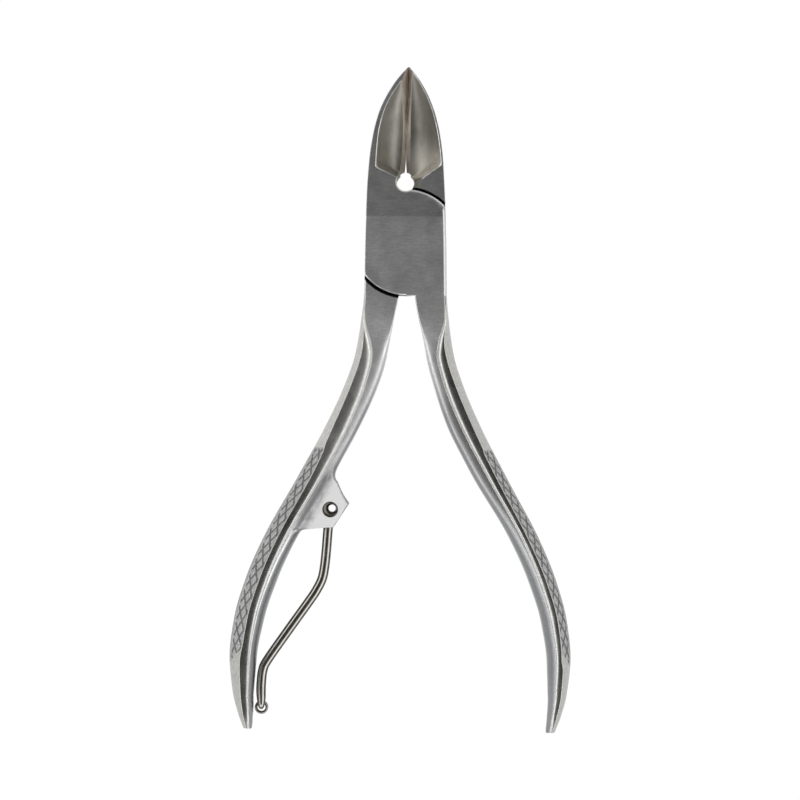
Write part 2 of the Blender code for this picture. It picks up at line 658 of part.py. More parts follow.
def wire_spring(material):
    """One bent wire: a flat forged eye round the tubular rivet, and a necked hook through the roller."""
    hook_x, hook_y = ROLLER_CENTRE[0], ROLLER_CENTRE[1] + AXLE_RISE
    top, low = MID, ROLLER_Z[0] - 0.15 - NECK_RADIUS
    neck = [
        (hook_x - 0.02, hook_y + 1.9, top, 0.9), (hook_x, hook_y + 1.1, top, 0.8),
        (hook_x, hook_y + 0.6, top, 0.72), (hook_x, hook_y + 0.2, top - 0.16, 0.62),
        (hook_x, hook_y, top - 0.65, NECK_RADIUS), (hook_x, hook_y, low + 0.6, NECK_RADIUS),
        (hook_x, hook_y + 0.18, low + 0.17, NECK_RADIUS), (hook_x, hook_y + 0.6, low, NECK_RADIUS),
        (hook_x, hook_y + 1.7, low, NECK_RADIUS),
    ]
    route = [(x, y, MID, WIRE_RADIUS) for x, y in WIRE_ROUTE] + neck
    curve = bpy.data.curves.new("wire_path", "CURVE")
    curve.dimensions = "3D"
    curve.bevel_depth = MM
    curve.bevel_resolution = 2
    curve.use_fill_caps = True
    spline = curve.splines.new("POLY")
    spline.points.add(len(route) - 1)
    for point, (x, y, z, radius) in zip(spline.points, route):
        point.co = (x * MM, y * MM, z * MM, 1)
        point.radius = radius
    guide = add_object("wire_path", curve)
    bpy.context.view_layer.update()
    tube = bpy.data.meshes.new_from_object(guide.evaluated_get(bpy.context.evaluated_depsgraph_get()))
    bpy.data.objects.remove(guide)
    wire = add_object("wire_spring", tube, material)
    weld = wire.modifiers.new("close caps", "WELD")
    weld.merge_threshold = 1e-6

    half = EYE_THICKNESS / 2
    eye = turned("wire_eye", EAR_CENTRE, [(EYE_RADIUS, MID - half), (EYE_RADIUS, MID + half)], 32)
    combine(wire, eye, "UNION")
    hole = TUBE_RIVET_RADIUS + RUNNING_FIT
    bore = turned("wire_eye_bore", EAR_CENTRE, [(hole, MID - half - 1), (hole, MID + half + 1)], 32)
    combine(wire, bore, "DIFFERENCE")
    smooth(wire, 40)
    return wire


def spring_roller(material):
    """A small ring that hangs on the wire's hook and rolls along the other handle."""
    low, high = ROLLER_Z
    chamfer = 0.22
    profile = [
        (ROLLER_RADIUS - chamfer, low), (ROLLER_RADIUS, low + chamfer), (ROLLER_RADIUS, high - chamfer),
        (ROLLER_RADIUS - chamfer, high), (ROLLER_BORE + 0.1, high), (ROLLER_BORE, high - 0.1),
        (ROLLER_BORE, low + 0.1), (ROLLER_BORE + 0.1, low),
    ]
    roller = turned_ring("spring_roller", ROLLER_CENTRE, profile, 32, material)
    smooth(roller, 40)
    return roller


def set_origin(obj, place):
    """Moves an object's origin to a place in millimetres, leaving its mesh where it is."""
    shift = Vector(place) * MM
    obj.data.transform(Matrix.Translation(-shift))
    obj.location = shift


def build():
    for obj in list(bpy.data.objects):
        bpy.data.objects.remove(obj)
    satin = steel("satin_steel", (0.56, 0.56, 0.55), 0.32)
    polished = steel("polished_steel", (0.50, 0.48, 0.45), 0.18)
    front_lever(satin)
    back_lever(satin)
    pivot_rivet(satin)
    spring_rivet(polished)
    set_origin(wire_spring(polished), (*EAR_CENTRE, 0))
    set_origin(spring_roller(polished), (*ROLLER_CENTRE, 0))


build()
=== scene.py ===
"""Looks for the plier-type nail clipper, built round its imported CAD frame.

The shapes are worked out in millimetres, in the frame's axes: +Y from the pivot to the jaw tip, +Z out of
the front face. Both levers, the wire, the tubular rivet and the roller are built again at a finer
resolution, with the milled texture on the handles; the pivot rivet keeps its CAD mesh.
"""

import json
from math import acos, asin, copysign, cos, degrees, exp, hypot, pi, radians, sin

import bmesh
import bpy
import numpy as np
from mathutils import Matrix, Vector


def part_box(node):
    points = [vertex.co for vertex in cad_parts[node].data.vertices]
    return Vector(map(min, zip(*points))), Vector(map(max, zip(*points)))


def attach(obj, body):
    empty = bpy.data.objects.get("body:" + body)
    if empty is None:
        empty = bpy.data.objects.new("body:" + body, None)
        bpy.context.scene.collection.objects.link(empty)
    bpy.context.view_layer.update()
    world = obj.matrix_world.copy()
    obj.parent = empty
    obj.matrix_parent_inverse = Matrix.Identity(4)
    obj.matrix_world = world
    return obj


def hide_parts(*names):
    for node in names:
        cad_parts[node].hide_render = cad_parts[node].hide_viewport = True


MM = 0.001


def curve_through(points):
    """A smooth function through (y, value) points that doesn't overshoot between them."""
    ys, vs = zip(*sorted(points))
    rises = [(vs[i + 1] - vs[i]) / (ys[i + 1] - ys[i]) for i in range(len(ys) - 1)]
    slopes = [rises[0]]
    for before, after in zip(rises, rises[1:]):
        slopes.append(2 * before * after / (before + after) if before * after > 0 else 0.0)
    slopes.append(rises[-1])

    def value(y):
        y = min(max(y, ys[0]), ys[-1])
        i = max(k for k in range(len(ys) - 1) if ys[k] <= y)
        h = ys[i + 1] - ys[i]
        t = (y - ys[i]) / h
        start = vs[i] * (1 + 2 * t) * (1 - t) ** 2 + slopes[i] * h * t * (1 - t) ** 2
        return start + vs[i + 1] * t * t * (3 - 2 * t) - slopes[i + 1] * h * t * t * (1 - t)

    return value


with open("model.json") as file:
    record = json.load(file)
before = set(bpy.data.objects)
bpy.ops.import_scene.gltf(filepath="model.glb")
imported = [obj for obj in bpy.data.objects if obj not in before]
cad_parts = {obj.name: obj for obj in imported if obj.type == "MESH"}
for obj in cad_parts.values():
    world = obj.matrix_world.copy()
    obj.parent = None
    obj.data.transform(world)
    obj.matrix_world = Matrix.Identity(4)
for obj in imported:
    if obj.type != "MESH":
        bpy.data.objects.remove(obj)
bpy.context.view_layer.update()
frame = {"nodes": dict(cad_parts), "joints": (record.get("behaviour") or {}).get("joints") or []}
joints = {joint["name"]: [c / MM for c in joint["pos_m"]] for joint in frame["joints"]}
LOW, HIGH = ([c / MM for c in corner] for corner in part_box("back_lever"))
THICKNESS = HIGH[2]
MID = THICKNESS / 2
TAIL_Y, TIP_Y = LOW[1], HIGH[1]

# --- the levers' shape, as in the CAD ---
BOSS_RADIUS, CROTCH_Y = 10.3, -10.3
ARC_GAP, HALF_GAP, BLADE_GAP = 0.55, 0.10, 0.012
SLOPE_START_Y, TIP_FRONT_Z = 4.9, 4.2  # where the front face starts to lean back, and its end
BACK_SLOPE_START_Y, TIP_BACK_Z = 12.0, 1.0
EDGE_HEIGHT, RIDGE_ABOVE_BACK = 0.15, 1.3  # above the back face
DISH_END_REACH = 2.0
KEYHOLE_CENTRE, KEYHOLE_RADIUS, KEYHOLE_NECK = (-0.3, 11.7), 1.7, (2.05, 13.95)
KEYHOLE_CHAMFER = 0.28
KEYHOLE_RELIEF = [(2.95, 12.7), (2.6, 10.3)]
BORE_RADIUS, BORE_TOP = 2.36, 6.8
COUNTERSINK = [(4.56, -0.93), (3.66, 0.0), (2.36, 1.3)]
EDGE_BREAK = 0.16  # small chamfer along the joint's front edges
RIGHT_EDGE_BREAK = 0.3  # the broader one on the right

outer = curve_through([
    (-95.4, 30.5), (-92.5, 31.6), (-88, 32.75), (-81, 33.4), (-74, 32.65), (-66, 30.45), (-58, 27.1),
    (-46, 20.55), (-36, 15.25), (-28, 11.68), (-22, 9.7), (-16, 8.7), (-10, 8.1), (0, 7.94), (8, 7.7),
    (16, 7.25), (21, 6.6), (25, 5.65), (28, 4.5), (31, 2.88), (33, 1.45), (34.5, 0.1),
])
head_shift = curve_through([(-8, 0.0), (4, -0.12), (12, -0.24), (24, -0.24), (31, -0.1), (34.5, 0.0)])
RIGHT_HANDLE = {
    "arris": [
        (-95.4, 0.55), (-92, 0.92), (-85, 1.37), (-83, 1.5), (-81, 1.85), (-73, 1.9), (-56, 2.25),
        (-44, 2.1), (-41, 2.0), (-40, 1.76), (-31, 1.57), (-21, 1.6), (-17, 0.95), (-15, 0.45), (-12.5, 0.3),
    ],
    "ridge": [
        (-95.4, 1.0), (-92, 1.75), (-85, 2.6), (-79, 2.9), (-60, 3.35), (-36, 3.95), (-23, 3.5),
        (-18.9, 2.45), (-17, 1.6), (-15, 0.9), (-12.5, 0.6),
    ],
    "inner": [
        (-95.4, 1.8), (-94, 2.3), (-91, 3.1), (-87, 3.95), (-82, 4.65), (-70, 5.35), (-56, 5.95),
        (-44, 6.7), (-38, 6.7), (-27, 5.8), (-20, 5.45), (-14, 5.95), (CROTCH_Y, 6.25),
    ],
}
LEFT_HANDLE = {
    "arris": [
        (-95.4, 0.6), (-93, 0.95), (-89.6, 1.45), (-87.6, 1.68), (-85.7, 1.82), (-82, 2.1), (-78, 2.6),
        (-62, 2.85), (-46, 2.65), (-41.5, 2.3), (-39, 1.8), (-31, 1.35), (-21, 1.2), (-17, 0.7), (-15, 0.4),
        (-12.5, 0.2),
    ],
    "ridge": [
        (-95.4, 1.15), (-93, 2.0), (-89, 2.9), (-86, 3.4), (-80, 4.05), (-60, 4.45), (-44, 4.7), (-31, 4.3),
        (-24.5, 3.75), (-21.7, 3.3), (-19.5, 2.55), (-17, 1.4), (-15, 0.75), (-12.5, 0.4),
    ],
    "inner": [
        (-95.4, 1.7), (-94, 2.4), (-91, 3.5), (-87, 4.45), (-82, 5.3), (-70, 6.15), (-55, 6.6),
        (-44, 6.75), (-36, 6.75), (-27, 6.6), (-20, 6.25), (-14, 6.45), (CROTCH_Y, 6.8),
    ],
}
ridge_height = curve_through([
    (-95.4, 1.7), (-92, 2.4), (-85, 3.05), (-75, 3.45), (-60, 3.65), (-45, 3.75), (-14, 4.0),
])
arris_height = curve_through([
    (-95.4, 1.45), (-92, 2.25), (-85, 2.85), (-78, 3.1), (-60, 3.2), (-50, 3.15), (-40, 3.0), (-30, 2.95),
    (-19, 3.05), (-12.5, 3.85),
])
inner_square = curve_through([
    (-90, 0.5), (-70, 0.58), (-58, 0.72), (-44, 0.88), (-30, 0.93), (-20, 0.97), (-12, 0.98),
])
outer_square = curve_through([(-60, 0.3), (-20, 0.3), (-12.5, 0.96)])
arris_slope = curve_through([(-60, 44), (-20, 50), (-12.5, 86)])
crest_drop = curve_through([(-90, 0.15), (-75, 0.25), (-30, 0.2), (-20, 0.06), (-14, 0.0)])
crest_round = curve_through([
    (-95, 0.1), (-86, 0.12), (-80, 0.18), (-73, 0.25), (-62, 0.22), (-52, 0.13), (-35, 0.1), (-22, 0.1),
    (-13, 0.05),
])
ARRIS_ROUND = 0.1
lip_share = curve_through([(-95, 0.1), (-84, 0.12), (-74, 0.15), (-55, 0.14), (-35, 0.12), (-18, 0.12)])
contact = curve_through([(10, -0.3), (24, -0.28), (27, -0.1), (30, 0.12), (32.5, 0.15), (34.5, 0.0)])
DISHES = {  # the left jaw's, then the right one's
    -1: {
        "end": (2.45, 12.9, 0.5),
        "tip": 31.7,
        "rim": [(14, 1.5), (18, 1.3), (22, 1.05), (28, 0.95), (31.7, 1.1), (34, 0.1)],
        "ridge": [(12, 1.8), (13.1, 1.5), (15, 1.15), (17.5, 0.85), (24, 0.72), (28, 1.15), (31.7, 1.45)],
    },
    1: {
        "end": (2.95, 12.7, 0.7),
        "tip": 33.4,
        "rim": [(14, 0.5), (28, 0.45), (33, 0.35), (34, 0.1)],
        "ridge": [(11, 2.0), (13.5, 1.2), (16, 0.9), (24, 0.85), (30, 0.5), (32, 0.5), (33.4, 0.68)],
    },
}
EAR_THICKNESS, EAR_SLOT, EAR_BLEND, EAR_EDGE_BREAK = 5.5, 2.2, 2.0, 0.35
EAR_HOLE_RADIUS, EAR_MOUTH_RADIUS = 1.30, 1.55
EAR_NECK = [
    (-41.1, 11.1), (-42.3, 11.6), (-43.5, 12.12), (-44.6, 12.5), (-45.5, 12.68), (-46.4, 12.74),
    (-47.2, 12.62), (-48.2, 12.22), (-49.4, 11.62), (-50.5, 10.88), (-51.15, 10.4),
]
NO_EAR = 50.0
EAR_HEEL = [(-59.4, 21.3), (-58.1, 20.45), (-57.2, 19.8), (-56.5, 19.0), (-56.2, 18.0), (-55.75, 13.35)]

# The milled texture: two sets of grooves that cross in long diamonds.
KNURL_TOP, KNURL_END = -40.3, -79.8
KNURL_END_LEAN = 3.4  # the lower end runs down towards the outer side
DIAMOND = (3.3, 1.85)  # along the handle, across it
GROOVE_WIDTH, GROOVE_DEPTH = 0.22, 0.13
KNURL_RECESS = 0.06
BRUSHED_TOP, CREST_TOP = -19, -13.5  # the flat faces end here
CROWN_POINTS = 60
SMOOTH_STRIP = 0.22  # share of the outer side, next to the mid-plane, that the texture leaves smooth
WALL_STEPS, CROWN_STEPS, CREST_STEPS, HOLLOW_STEPS, ARRIS_STEPS, FLANK_STEPS = 22, 34, 5, 12, 3, 30
HALF_ZONES = (  # what each point of a half section belongs to
    ["crown"] * CROWN_STEPS + ["crest"] * CREST_STEPS + ["hollow"] * (HOLLOW_STEPS + ARRIS_STEPS)
    + ["flank"] * (FLANK_STEPS + 1)
)

# Wire, tubular rivet and roller.
WIRE_RADIUS, NECK_RADIUS, EYE_RADIUS, EYE_THICKNESS = 0.95, 0.5, 2.4, 1.6
WIRE_ROUTE = [
    (-14.25, -54.0), (-14.5, -56.5), (-14.75, -60.4), (-15.05, -63.6), (-15.5, -66.0), (-16.55, -68.2),
    (-17.9, -70.3), (-22.0, -76.2), (-26.0, -82.1), (-26.85, -84.1), (-27.1, -86.4), (-27.14, -88.0),
]
AXLE_RISE = 0.2
TUBE_RIVET_RADIUS, TUBE_RIVET_MOUTH, TUBE_RIVET_BORE = 1.24, 1.47, 0.70
BORE_OFFSET = (0.34, 0.20)
ROLLER_RADIUS, ROLLER_BORE, ROLLER_Z = 1.32, 0.80, (1.25, 2.95)


# --- helpers ---
def between(a, b, t):
    return a + (b - a) * t


def bezier(ends, steps):
    """Points along a Bezier curve in a plane, without the last one."""
    found = []
    for k in range(steps):
        t = k / steps
        row = [Vector(p) for p in ends]
        while len(row) > 1:
            row = [a.lerp(b, t) for a, b in zip(row, row[1:])]
        found.append(row[0])
    return found


def arc(centre, radius, start, end, steps):
    angles = [radians(between(start, end, k / steps)) for k in range(steps + 1)]
    return [(centre[0] + radius * cos(a), centre[1] + radius * sin(a)) for a in angles]


def add_object(name, mesh, materials=()):
    obj = bpy.data.objects.new(name, mesh)
    bpy.context.scene.collection.objects.link(obj)
    for material in materials:
        obj.data.materials.append(material)
    return obj


def solid(name, points, faces, materials=None, zones=None):
    """A closed object from points in millimetres, faces turned outwards, with a material index per face."""
    mesh = bpy.data.meshes.new(name)
    mesh.from_pydata([Vector(p) * MM for p in points], [], faces)
    obj = add_object(name, mesh, materials or LEVER_STEELS)
    if zones is not None:
        mesh.polygons.foreach_set("material_index", zones)
    shell = bmesh.new()
    shell.from_mesh(mesh)
    if shell.calc_volume(signed=True) < 0:
        mesh.flip_normals()
    shell.free()
    mesh.update()
    return obj


def loft(name, rings, materials=None, zone_of=None, cap_zone=0, looped=False):
    """Joins rings of equal length into a solid. Both ends are closed, or joined to each other if looped."""
    count = len(rings[0])
    points = [p for ring in rings for p in ring]
    faces, zones = [], []
    for r in range(len(rings) - (0 if looped else 1)):
        step = count if r + 1 < len(rings) else -r * count
        for k in range(count):
            a, b = r * count + k, r * count + (k + 1) % count
            faces.append((a, b, b + step, a + step))
            zones.append(zone_of(r, k) if zone_of else cap_zone)
    if not looped:
        faces.append(tuple(range(count))[::-1])
        faces.append(tuple(range(len(points) - count, len(points))))
        zones += [cap_zone, cap_zone]
    return solid(name, points, faces, materials, zones)


def turned(centre, profile, segments=96, zone=0):
    """A cutter turned about a vertical axis, from (radius, z) points."""
    rings = [[(x, y, z) for x, y in arc(centre, radius, 0, 360, segments)[:-1]] for radius, z in profile]
    return loft("cutter", rings, cap_zone=zone)


def turned_ring(name, centre, profile, material, shifts=()):
    """A ring turned from a closed loop of (radius, z). shifts moves points off centre, by index."""
    rings = []
    for direction in arc((0, 0), 1, 0, 360, 96)[:-1]:
        rings.append([])
        for index, (radius, z) in enumerate(profile):
            share = dict(shifts).get(index, 0)
            x, y = (centre[k] + share * BORE_OFFSET[k] + radius * direction[k] for k in (0, 1))
            rings[-1].append((x, y, z))
    return loft(name, rings, [material], looped=True)


def cut(obj, cutters, operation="DIFFERENCE"):
    """Applies the cutters to obj one after another and removes them."""
    for cutter in cutters:
        modifier = obj.modifiers.new(cutter.name, "BOOLEAN")
        modifier.operation = operation
        modifier.solver = "MANIFOLD"
        modifier.object = cutter
    graph = bpy.context.evaluated_depsgraph_get()
    graph.update()
    made = bpy.data.meshes.new_from_object(obj.evaluated_get(graph))
    obj.modifiers.clear()
    obj.data = made
    for cutter in cutters:
        bpy.data.objects.remove(cutter)


def turn_over(obj):
    """Turns a solid half a turn about the joint's long axis at mid-thickness."""
    turn = Matrix.Translation((0, 0, MID * MM)) @ Matrix.Rotation(pi, 4, "Y")
    obj.data.transform(turn @ Matrix.Translation((0, 0, -MID * MM)))
    return obj


def smooth_share(t):
    t = min(1.0, max(0.0, t))
    return t * t * (3 - 2 * t)


# --- materials ---
class Nodes:
    """Short forms for building the nodes of a material or of the world."""

    def __init__(self, owner):
        owner.use_nodes = True
        self.tree = owner.node_tree
        self.shader = self.tree.nodes.get("Principled BSDF")

    def fill(self, socket, value):
        if isinstance(value, bpy.types.NodeSocket):
            self.tree.links.new(value, socket)
        else:
            socket.default_value = value

    def set(self, name, value):
        self.fill(self.shader.inputs[name], value)

    def add(self, kind, inputs=(), **settings):
        node = self.tree.nodes.new("ShaderNode" + kind)
        for key, value in settings.items():
            setattr(node, key, value)
        for key, value in dict(inputs).items():
            self.fill(node.inputs[key], value)
        return node

    def point(self, scale=(1, 1, 1), turn=0.0):
        """The object's own coordinates in millimetres, turned about Z and stretched."""
        place = self.add("TexCoord").outputs["Object"]
        made = {"Vector": place, "Scale": [s / MM for s in scale], "Rotation": (0, 0, turn)}
        return self.add("Mapping", made).outputs["Vector"]

    def axes(self, vector):
        return self.add("SeparateXYZ", {"Vector": vector}).outputs

    def upright(self):
        """1 where the surface faces straight up or down, 0 on a wall."""
        normal = self.add("NewGeometry").outputs["Normal"]
        return self.maths("ABSOLUTE", self.axes(normal)["Z"], 0.0)

    def noise(self, point, scale, detail=3.0, rough=0.5):
        made = {"Vector": point, "Scale": scale, "Detail": detail, "Roughness": rough}
        return self.add("TexNoise", made).outputs["Fac"]

    def ramp(self, value, low, high, to_low, to_high, kind="LINEAR"):
        made = {"Value": value, "From Min": low, "From Max": high, "To Min": to_low, "To Max": to_high}
        return self.add("MapRange", made, interpolation_type=kind).outputs["Result"]

    def eased(self, *limits):
        return self.ramp(*limits, "SMOOTHSTEP")

    def maths(self, operation, a, b):
        return self.add("Math", {0: a, 1: b}, operation=operation).outputs["Value"]

    def times(self, a, b):
        return self.maths("MULTIPLY", a, b)

    def plus(self, a, b):
        return self.maths("ADD", a, b)

    def vector(self, operation, a, b):
        return self.add("VectorMath", {0: a, 1: b}, operation=operation).outputs["Value"]

    def scaled(self, colour, share):
        made = {0: colour, "Scale": share}
        return self.add("VectorMath", made, operation="SCALE").outputs["Vector"]

    def mixed(self, share, first, second):
        return self.add("Mix", {"Factor": share, 6: first, 7: second}, data_type="RGBA").outputs[2]

    def bump(self, height, distance):
        made = {"Height": height, "Distance": distance * MM}
        self.set("Normal", self.add("Bump", made).outputs["Normal"])

    def colours(self, value, stops):
        """A colour ramp through stops of (place, grey level or colour)."""
        ramp = self.add("ValToRGB", {"Fac": value})
        elements = ramp.color_ramp.elements
        elements[0].position, elements[1].position = stops[0][0], stops[-1][0]
        for place, _ in stops[1:-1]:
            elements.new(place)
        for element, (_, colour) in zip(elements, stops):
            element.color = (*(colour if isinstance(colour, tuple) else (colour,) * 3), 1)
        return ramp.outputs["Color"]


def new_steel(name):
    material = bpy.data.materials.new(name)
    nodes = Nodes(material)
    nodes.set("Metallic", 1.0)
    return material, nodes


def plain_steel(name, stretch, noise, colours, rough, bump, metallic=1.0):
    """A steel whose colour, roughness and bump follow one noise."""
    material, nodes = new_steel(name)
    grain = nodes.noise(nodes.point(stretch), *noise)
    nodes.set("Base Color", nodes.colours(grain, colours))
    nodes.set("Metallic", metallic)
    nodes.set("Roughness", nodes.ramp(grain, 0.3, 0.7, *rough))
    nodes.bump(grain, bump)
    return material


def satin_steel():
    """The flat front faces: fine grinding marks across the tool, cloudy patches, tiny pits. Past the crease,
    where the face leans back, it is painted darker as a painted shade; towards the joint and to the right it
    is painted a little darker.
    """
    material, nodes = new_steel("satin_steel")
    ripple = nodes.noise(nodes.point((0.5, 1.7, 1.0), 0.35), 1.5, 3.0, 0.6)
    speckle = nodes.noise(nodes.point(), 2.6, 4.0, 0.75)
    clouds = nodes.noise(nodes.point(), 0.3, 2.0, 0.5)
    grain = nodes.plus(nodes.times(ripple, 0.5), nodes.times(speckle, 0.5))
    right, height, _ = nodes.axes(nodes.point())
    joint = nodes.ramp(height, -20.0, -9.0, 1.0, 0.84)
    # painted shade: the face that leans back past the crease is painted a quarter darker
    slope = nodes.ramp(height, SLOPE_START_Y, SLOPE_START_Y + 0.3, 1.0, 0.75)
    share = nodes.times(nodes.times(joint, slope), nodes.ramp(right, 0.0, 6.0, 1.0, 0.93))
    ground = nodes.colours(grain, [(0.36, 0.74), (0.64, (1.0, 1.0, 0.995))])
    nodes.set("Base Color", nodes.scaled(ground, share))
    rougher = nodes.ramp(height, -19.0, -9.0, 0.05, 0.0)
    nodes.set("Roughness", nodes.plus(nodes.ramp(clouds, 0.3, 0.7, 0.41, 0.46), rougher))
    nodes.bump(grain, 0.012)
    return material


def polished_steel():
    """The ground hollow beside each ridge and the smooth outer side: long fine polishing lines.

    The left handle's hollow is painted lighter towards the joint, a painted light, and is made duller there.
    """
    material, nodes = new_steel("polished_band")
    lines = nodes.noise(nodes.point((4.0, 0.35, 4.0)), 2.0, 4.0, 0.6)
    clouds = nodes.noise(nodes.point(), 0.3, 2.0)
    speckle = nodes.noise(nodes.point((1.0, 0.6, 1.0)), 2.2, 4.0, 0.7)
    mix = nodes.plus(nodes.times(lines, 0.5), nodes.times(speckle, 0.5))
    right, height, _ = nodes.axes(nodes.point())
    # painted light: the left handle's hollow is painted up to 15 % lighter towards the joint, and made
    # rougher
    painted_light_and_dull = nodes.times(nodes.eased(height, -56.0, -36.0, 0.0, 1.0), nodes.ramp(right, -1.0, 1.0, 1.0, 0.0))
    plain = nodes.colours(mix, [(0.36, (0.46, 0.455, 0.435)), (0.64, (0.68, 0.675, 0.65))])
    nodes.set("Base Color", nodes.scaled(plain, nodes.plus(nodes.times(painted_light_and_dull, 0.15), 1.0)))
    nodes.set("Roughness", nodes.plus(nodes.ramp(clouds, 0.3, 0.7, 0.22, 0.30), nodes.times(painted_light_and_dull, 0.1)))
    nodes.bump(mix, 0.003)
    return material


def brushed_steel():
    """The handles' inner sides: short brush marks across them, coloured with painted shade and light by how
    far the surface faces up, with painted shade on the right handle's upward faces and in the fillet beside
    the ear. It turns bright and matt round the ear, where the cheek is painted white as a painted highlight.
    """
    material, nodes = new_steel("brushed_side")
    point = nodes.point()
    marks = nodes.noise(nodes.point((1.6, 0.45, 1.0), -0.6), 3.2, 4.0, 0.7)
    clouds = nodes.noise(nodes.point(), 0.45, 3.0)
    centre = (*joints["spring_swing"][:2], MID)
    across = (0.878, -0.479, 0.0)  # from the left handle's ridge towards the ear's nose
    start = centre[0] * across[0] + centre[1] * across[1] - 0.7
    away = nodes.plus(nodes.vector("DISTANCE", point, centre), nodes.times(clouds, 2.0))
    near = nodes.ramp(away, 7.5, 12.0, 1.0, 0.0)
    cheek = nodes.plus(nodes.vector("DOT_PRODUCT", point, across), nodes.times(clouds, 1.4))
    ear = nodes.times(near, nodes.ramp(cheek, start - 1.9, start - 0.2, 0.0, 1.0))
    # painted shade and light: the colours below follow how far the surface faces up
    tilt = nodes.upright()
    x, height, _ = nodes.axes(point)
    right = nodes.ramp(x, -1.0, 1.0, 0.0, 1.0)
    low = nodes.times(nodes.ramp(height, -60.0, -50.0, 1.0, 0.0), nodes.ramp(height, -90.0, -83.0, 0.0, 1.0))
    flat = nodes.times(nodes.ramp(tilt, 0.9, 0.985, 0.0, 1.0), nodes.ramp(height, -30.0, -19.0, 1.0, 0.0))
    # painted shade: on the right handle, faces that look straight up are mixed up to 0.6 towards black,
    # fading out towards the joint
    flat_shade = nodes.times(flat, nodes.times(right, 0.6))
    shade_black, slope_grey = (0.0, 0.0, 0.0, 1.0), (0.36, 0.365, 0.37)
    upper = [(0.1, 0.9), (0.22, slope_grey), (0.82, slope_grey), (0.93, 0.6), (0.985, 0.95)]
    upper = nodes.mixed(flat_shade, nodes.colours(tilt, upper), shade_black)
    upper = nodes.mixed(nodes.ramp(height, -34.0, -19.0, 0.0, 1.0), upper, (0.86, 0.86, 0.86, 1.0))
    slope_grey = (0.3, 0.305, 0.31)
    lower = [(0.05, 0.6), (0.3, slope_grey), (0.85, slope_grey), (0.92, 0.9), (1.0, 1.0)]
    lower = nodes.colours(nodes.plus(tilt, nodes.times(right, -0.045)), lower)
    # painted shade: the fillet band between the handle and the ear's cheek is mixed up to halfway towards
    # black
    fillet = nodes.times(near, nodes.ramp(ear, 0.0, 0.7, 0.5, 0.0))
    shaded = nodes.mixed(fillet, nodes.mixed(low, upper, lower), shade_black)
    # painted highlight: the ear's cheek is painted white, lightest where it faces up, and turns from metal to
    # matt
    colour = nodes.mixed(ear, shaded, nodes.colours(tilt, [(0.6, 0.3), (0.985, 1.0)]))
    brushing = nodes.maths("MAXIMUM", nodes.ramp(marks, 0.3, 0.7, 0.84, 1.08), ear)
    nodes.set("Base Color", nodes.scaled(colour, brushing))
    nodes.set("Metallic", nodes.ramp(ear, 0.0, 1.0, 1.0, 0.0))
    matt = nodes.plus(nodes.ramp(clouds, 0.3, 0.7, 0.42, 0.5), nodes.times(ear, 0.15))
    nodes.set("Roughness", nodes.plus(matt, nodes.times(low, -0.1)))
    nodes.bump(marks, 0.008)
    return material


def dish_steel():
    """The hollow-ground dishes: darker, warm, nearly mirror-bright. The right one is painted lighter at its
    heel, a painted highlight, and painted darker above it and at its lowest end.
    """
    material, nodes = new_steel("dish_steel")
    clouds = nodes.noise(nodes.point((1, 0.5, 1)), 0.6, 3.0, 0.6)
    streaks = nodes.noise(nodes.point((5.0, 0.5, 1.0)), 1.6, 3.0)
    x, height, _ = nodes.axes(nodes.point())
    # painted highlight: the right dish's base colour rises to twice at its heel, and falls to 0.66 above it
    # and 0.28 at its lowest end
    heel = nodes.times(nodes.eased(height, 22.0, 13.2, 0.66, 2.1), nodes.ramp(height, 12.5, 13.0, 0.28, 1.0))
    right, left = nodes.ramp(x, -0.5, 0.5, 0.0, 1.0), nodes.ramp(x, -0.5, 0.5, 1.0, 0.0)
    ground = nodes.colours(clouds, [(0.3, (0.37, 0.35, 0.31)), (0.7, (0.46, 0.44, 0.40))])
    nodes.set("Base Color", nodes.scaled(ground, nodes.plus(nodes.times(heel, right), left)))
    nodes.set("Roughness", nodes.ramp(streaks, 0.3, 0.7, 0.50, 0.58))
    nodes.bump(streaks, 0.002)
    return material


def wire_steel():
    """Drawn wire: painted light where it faces up and painted shade, dark olive, on its sides, by the
    surface's tilt.
    """
    material, nodes = new_steel("wire_steel")
    clouds = nodes.noise(nodes.point(), 0.9, 3.0)
    # painted light and shade: faces looking up or down are bright, the sides dark olive
    top = nodes.ramp(nodes.upright(), 0.66, 0.86, 0.0, 1.0)
    painted_light_and_tone = nodes.plus(nodes.times(top, 0.75), nodes.times(clouds, 0.3))
    shade_and_light_colours = [(0.1, (0.05, 0.045, 0.035)), (0.75, (0.42, 0.40, 0.36)), (1.0, (0.52, 0.50, 0.47))]
    nodes.set("Base Color", nodes.colours(painted_light_and_tone, shade_and_light_colours))
    nodes.set("Roughness", nodes.ramp(clouds, 0.3, 0.7, 0.16, 0.26))
    nodes.bump(clouds, 0.004)
    return material


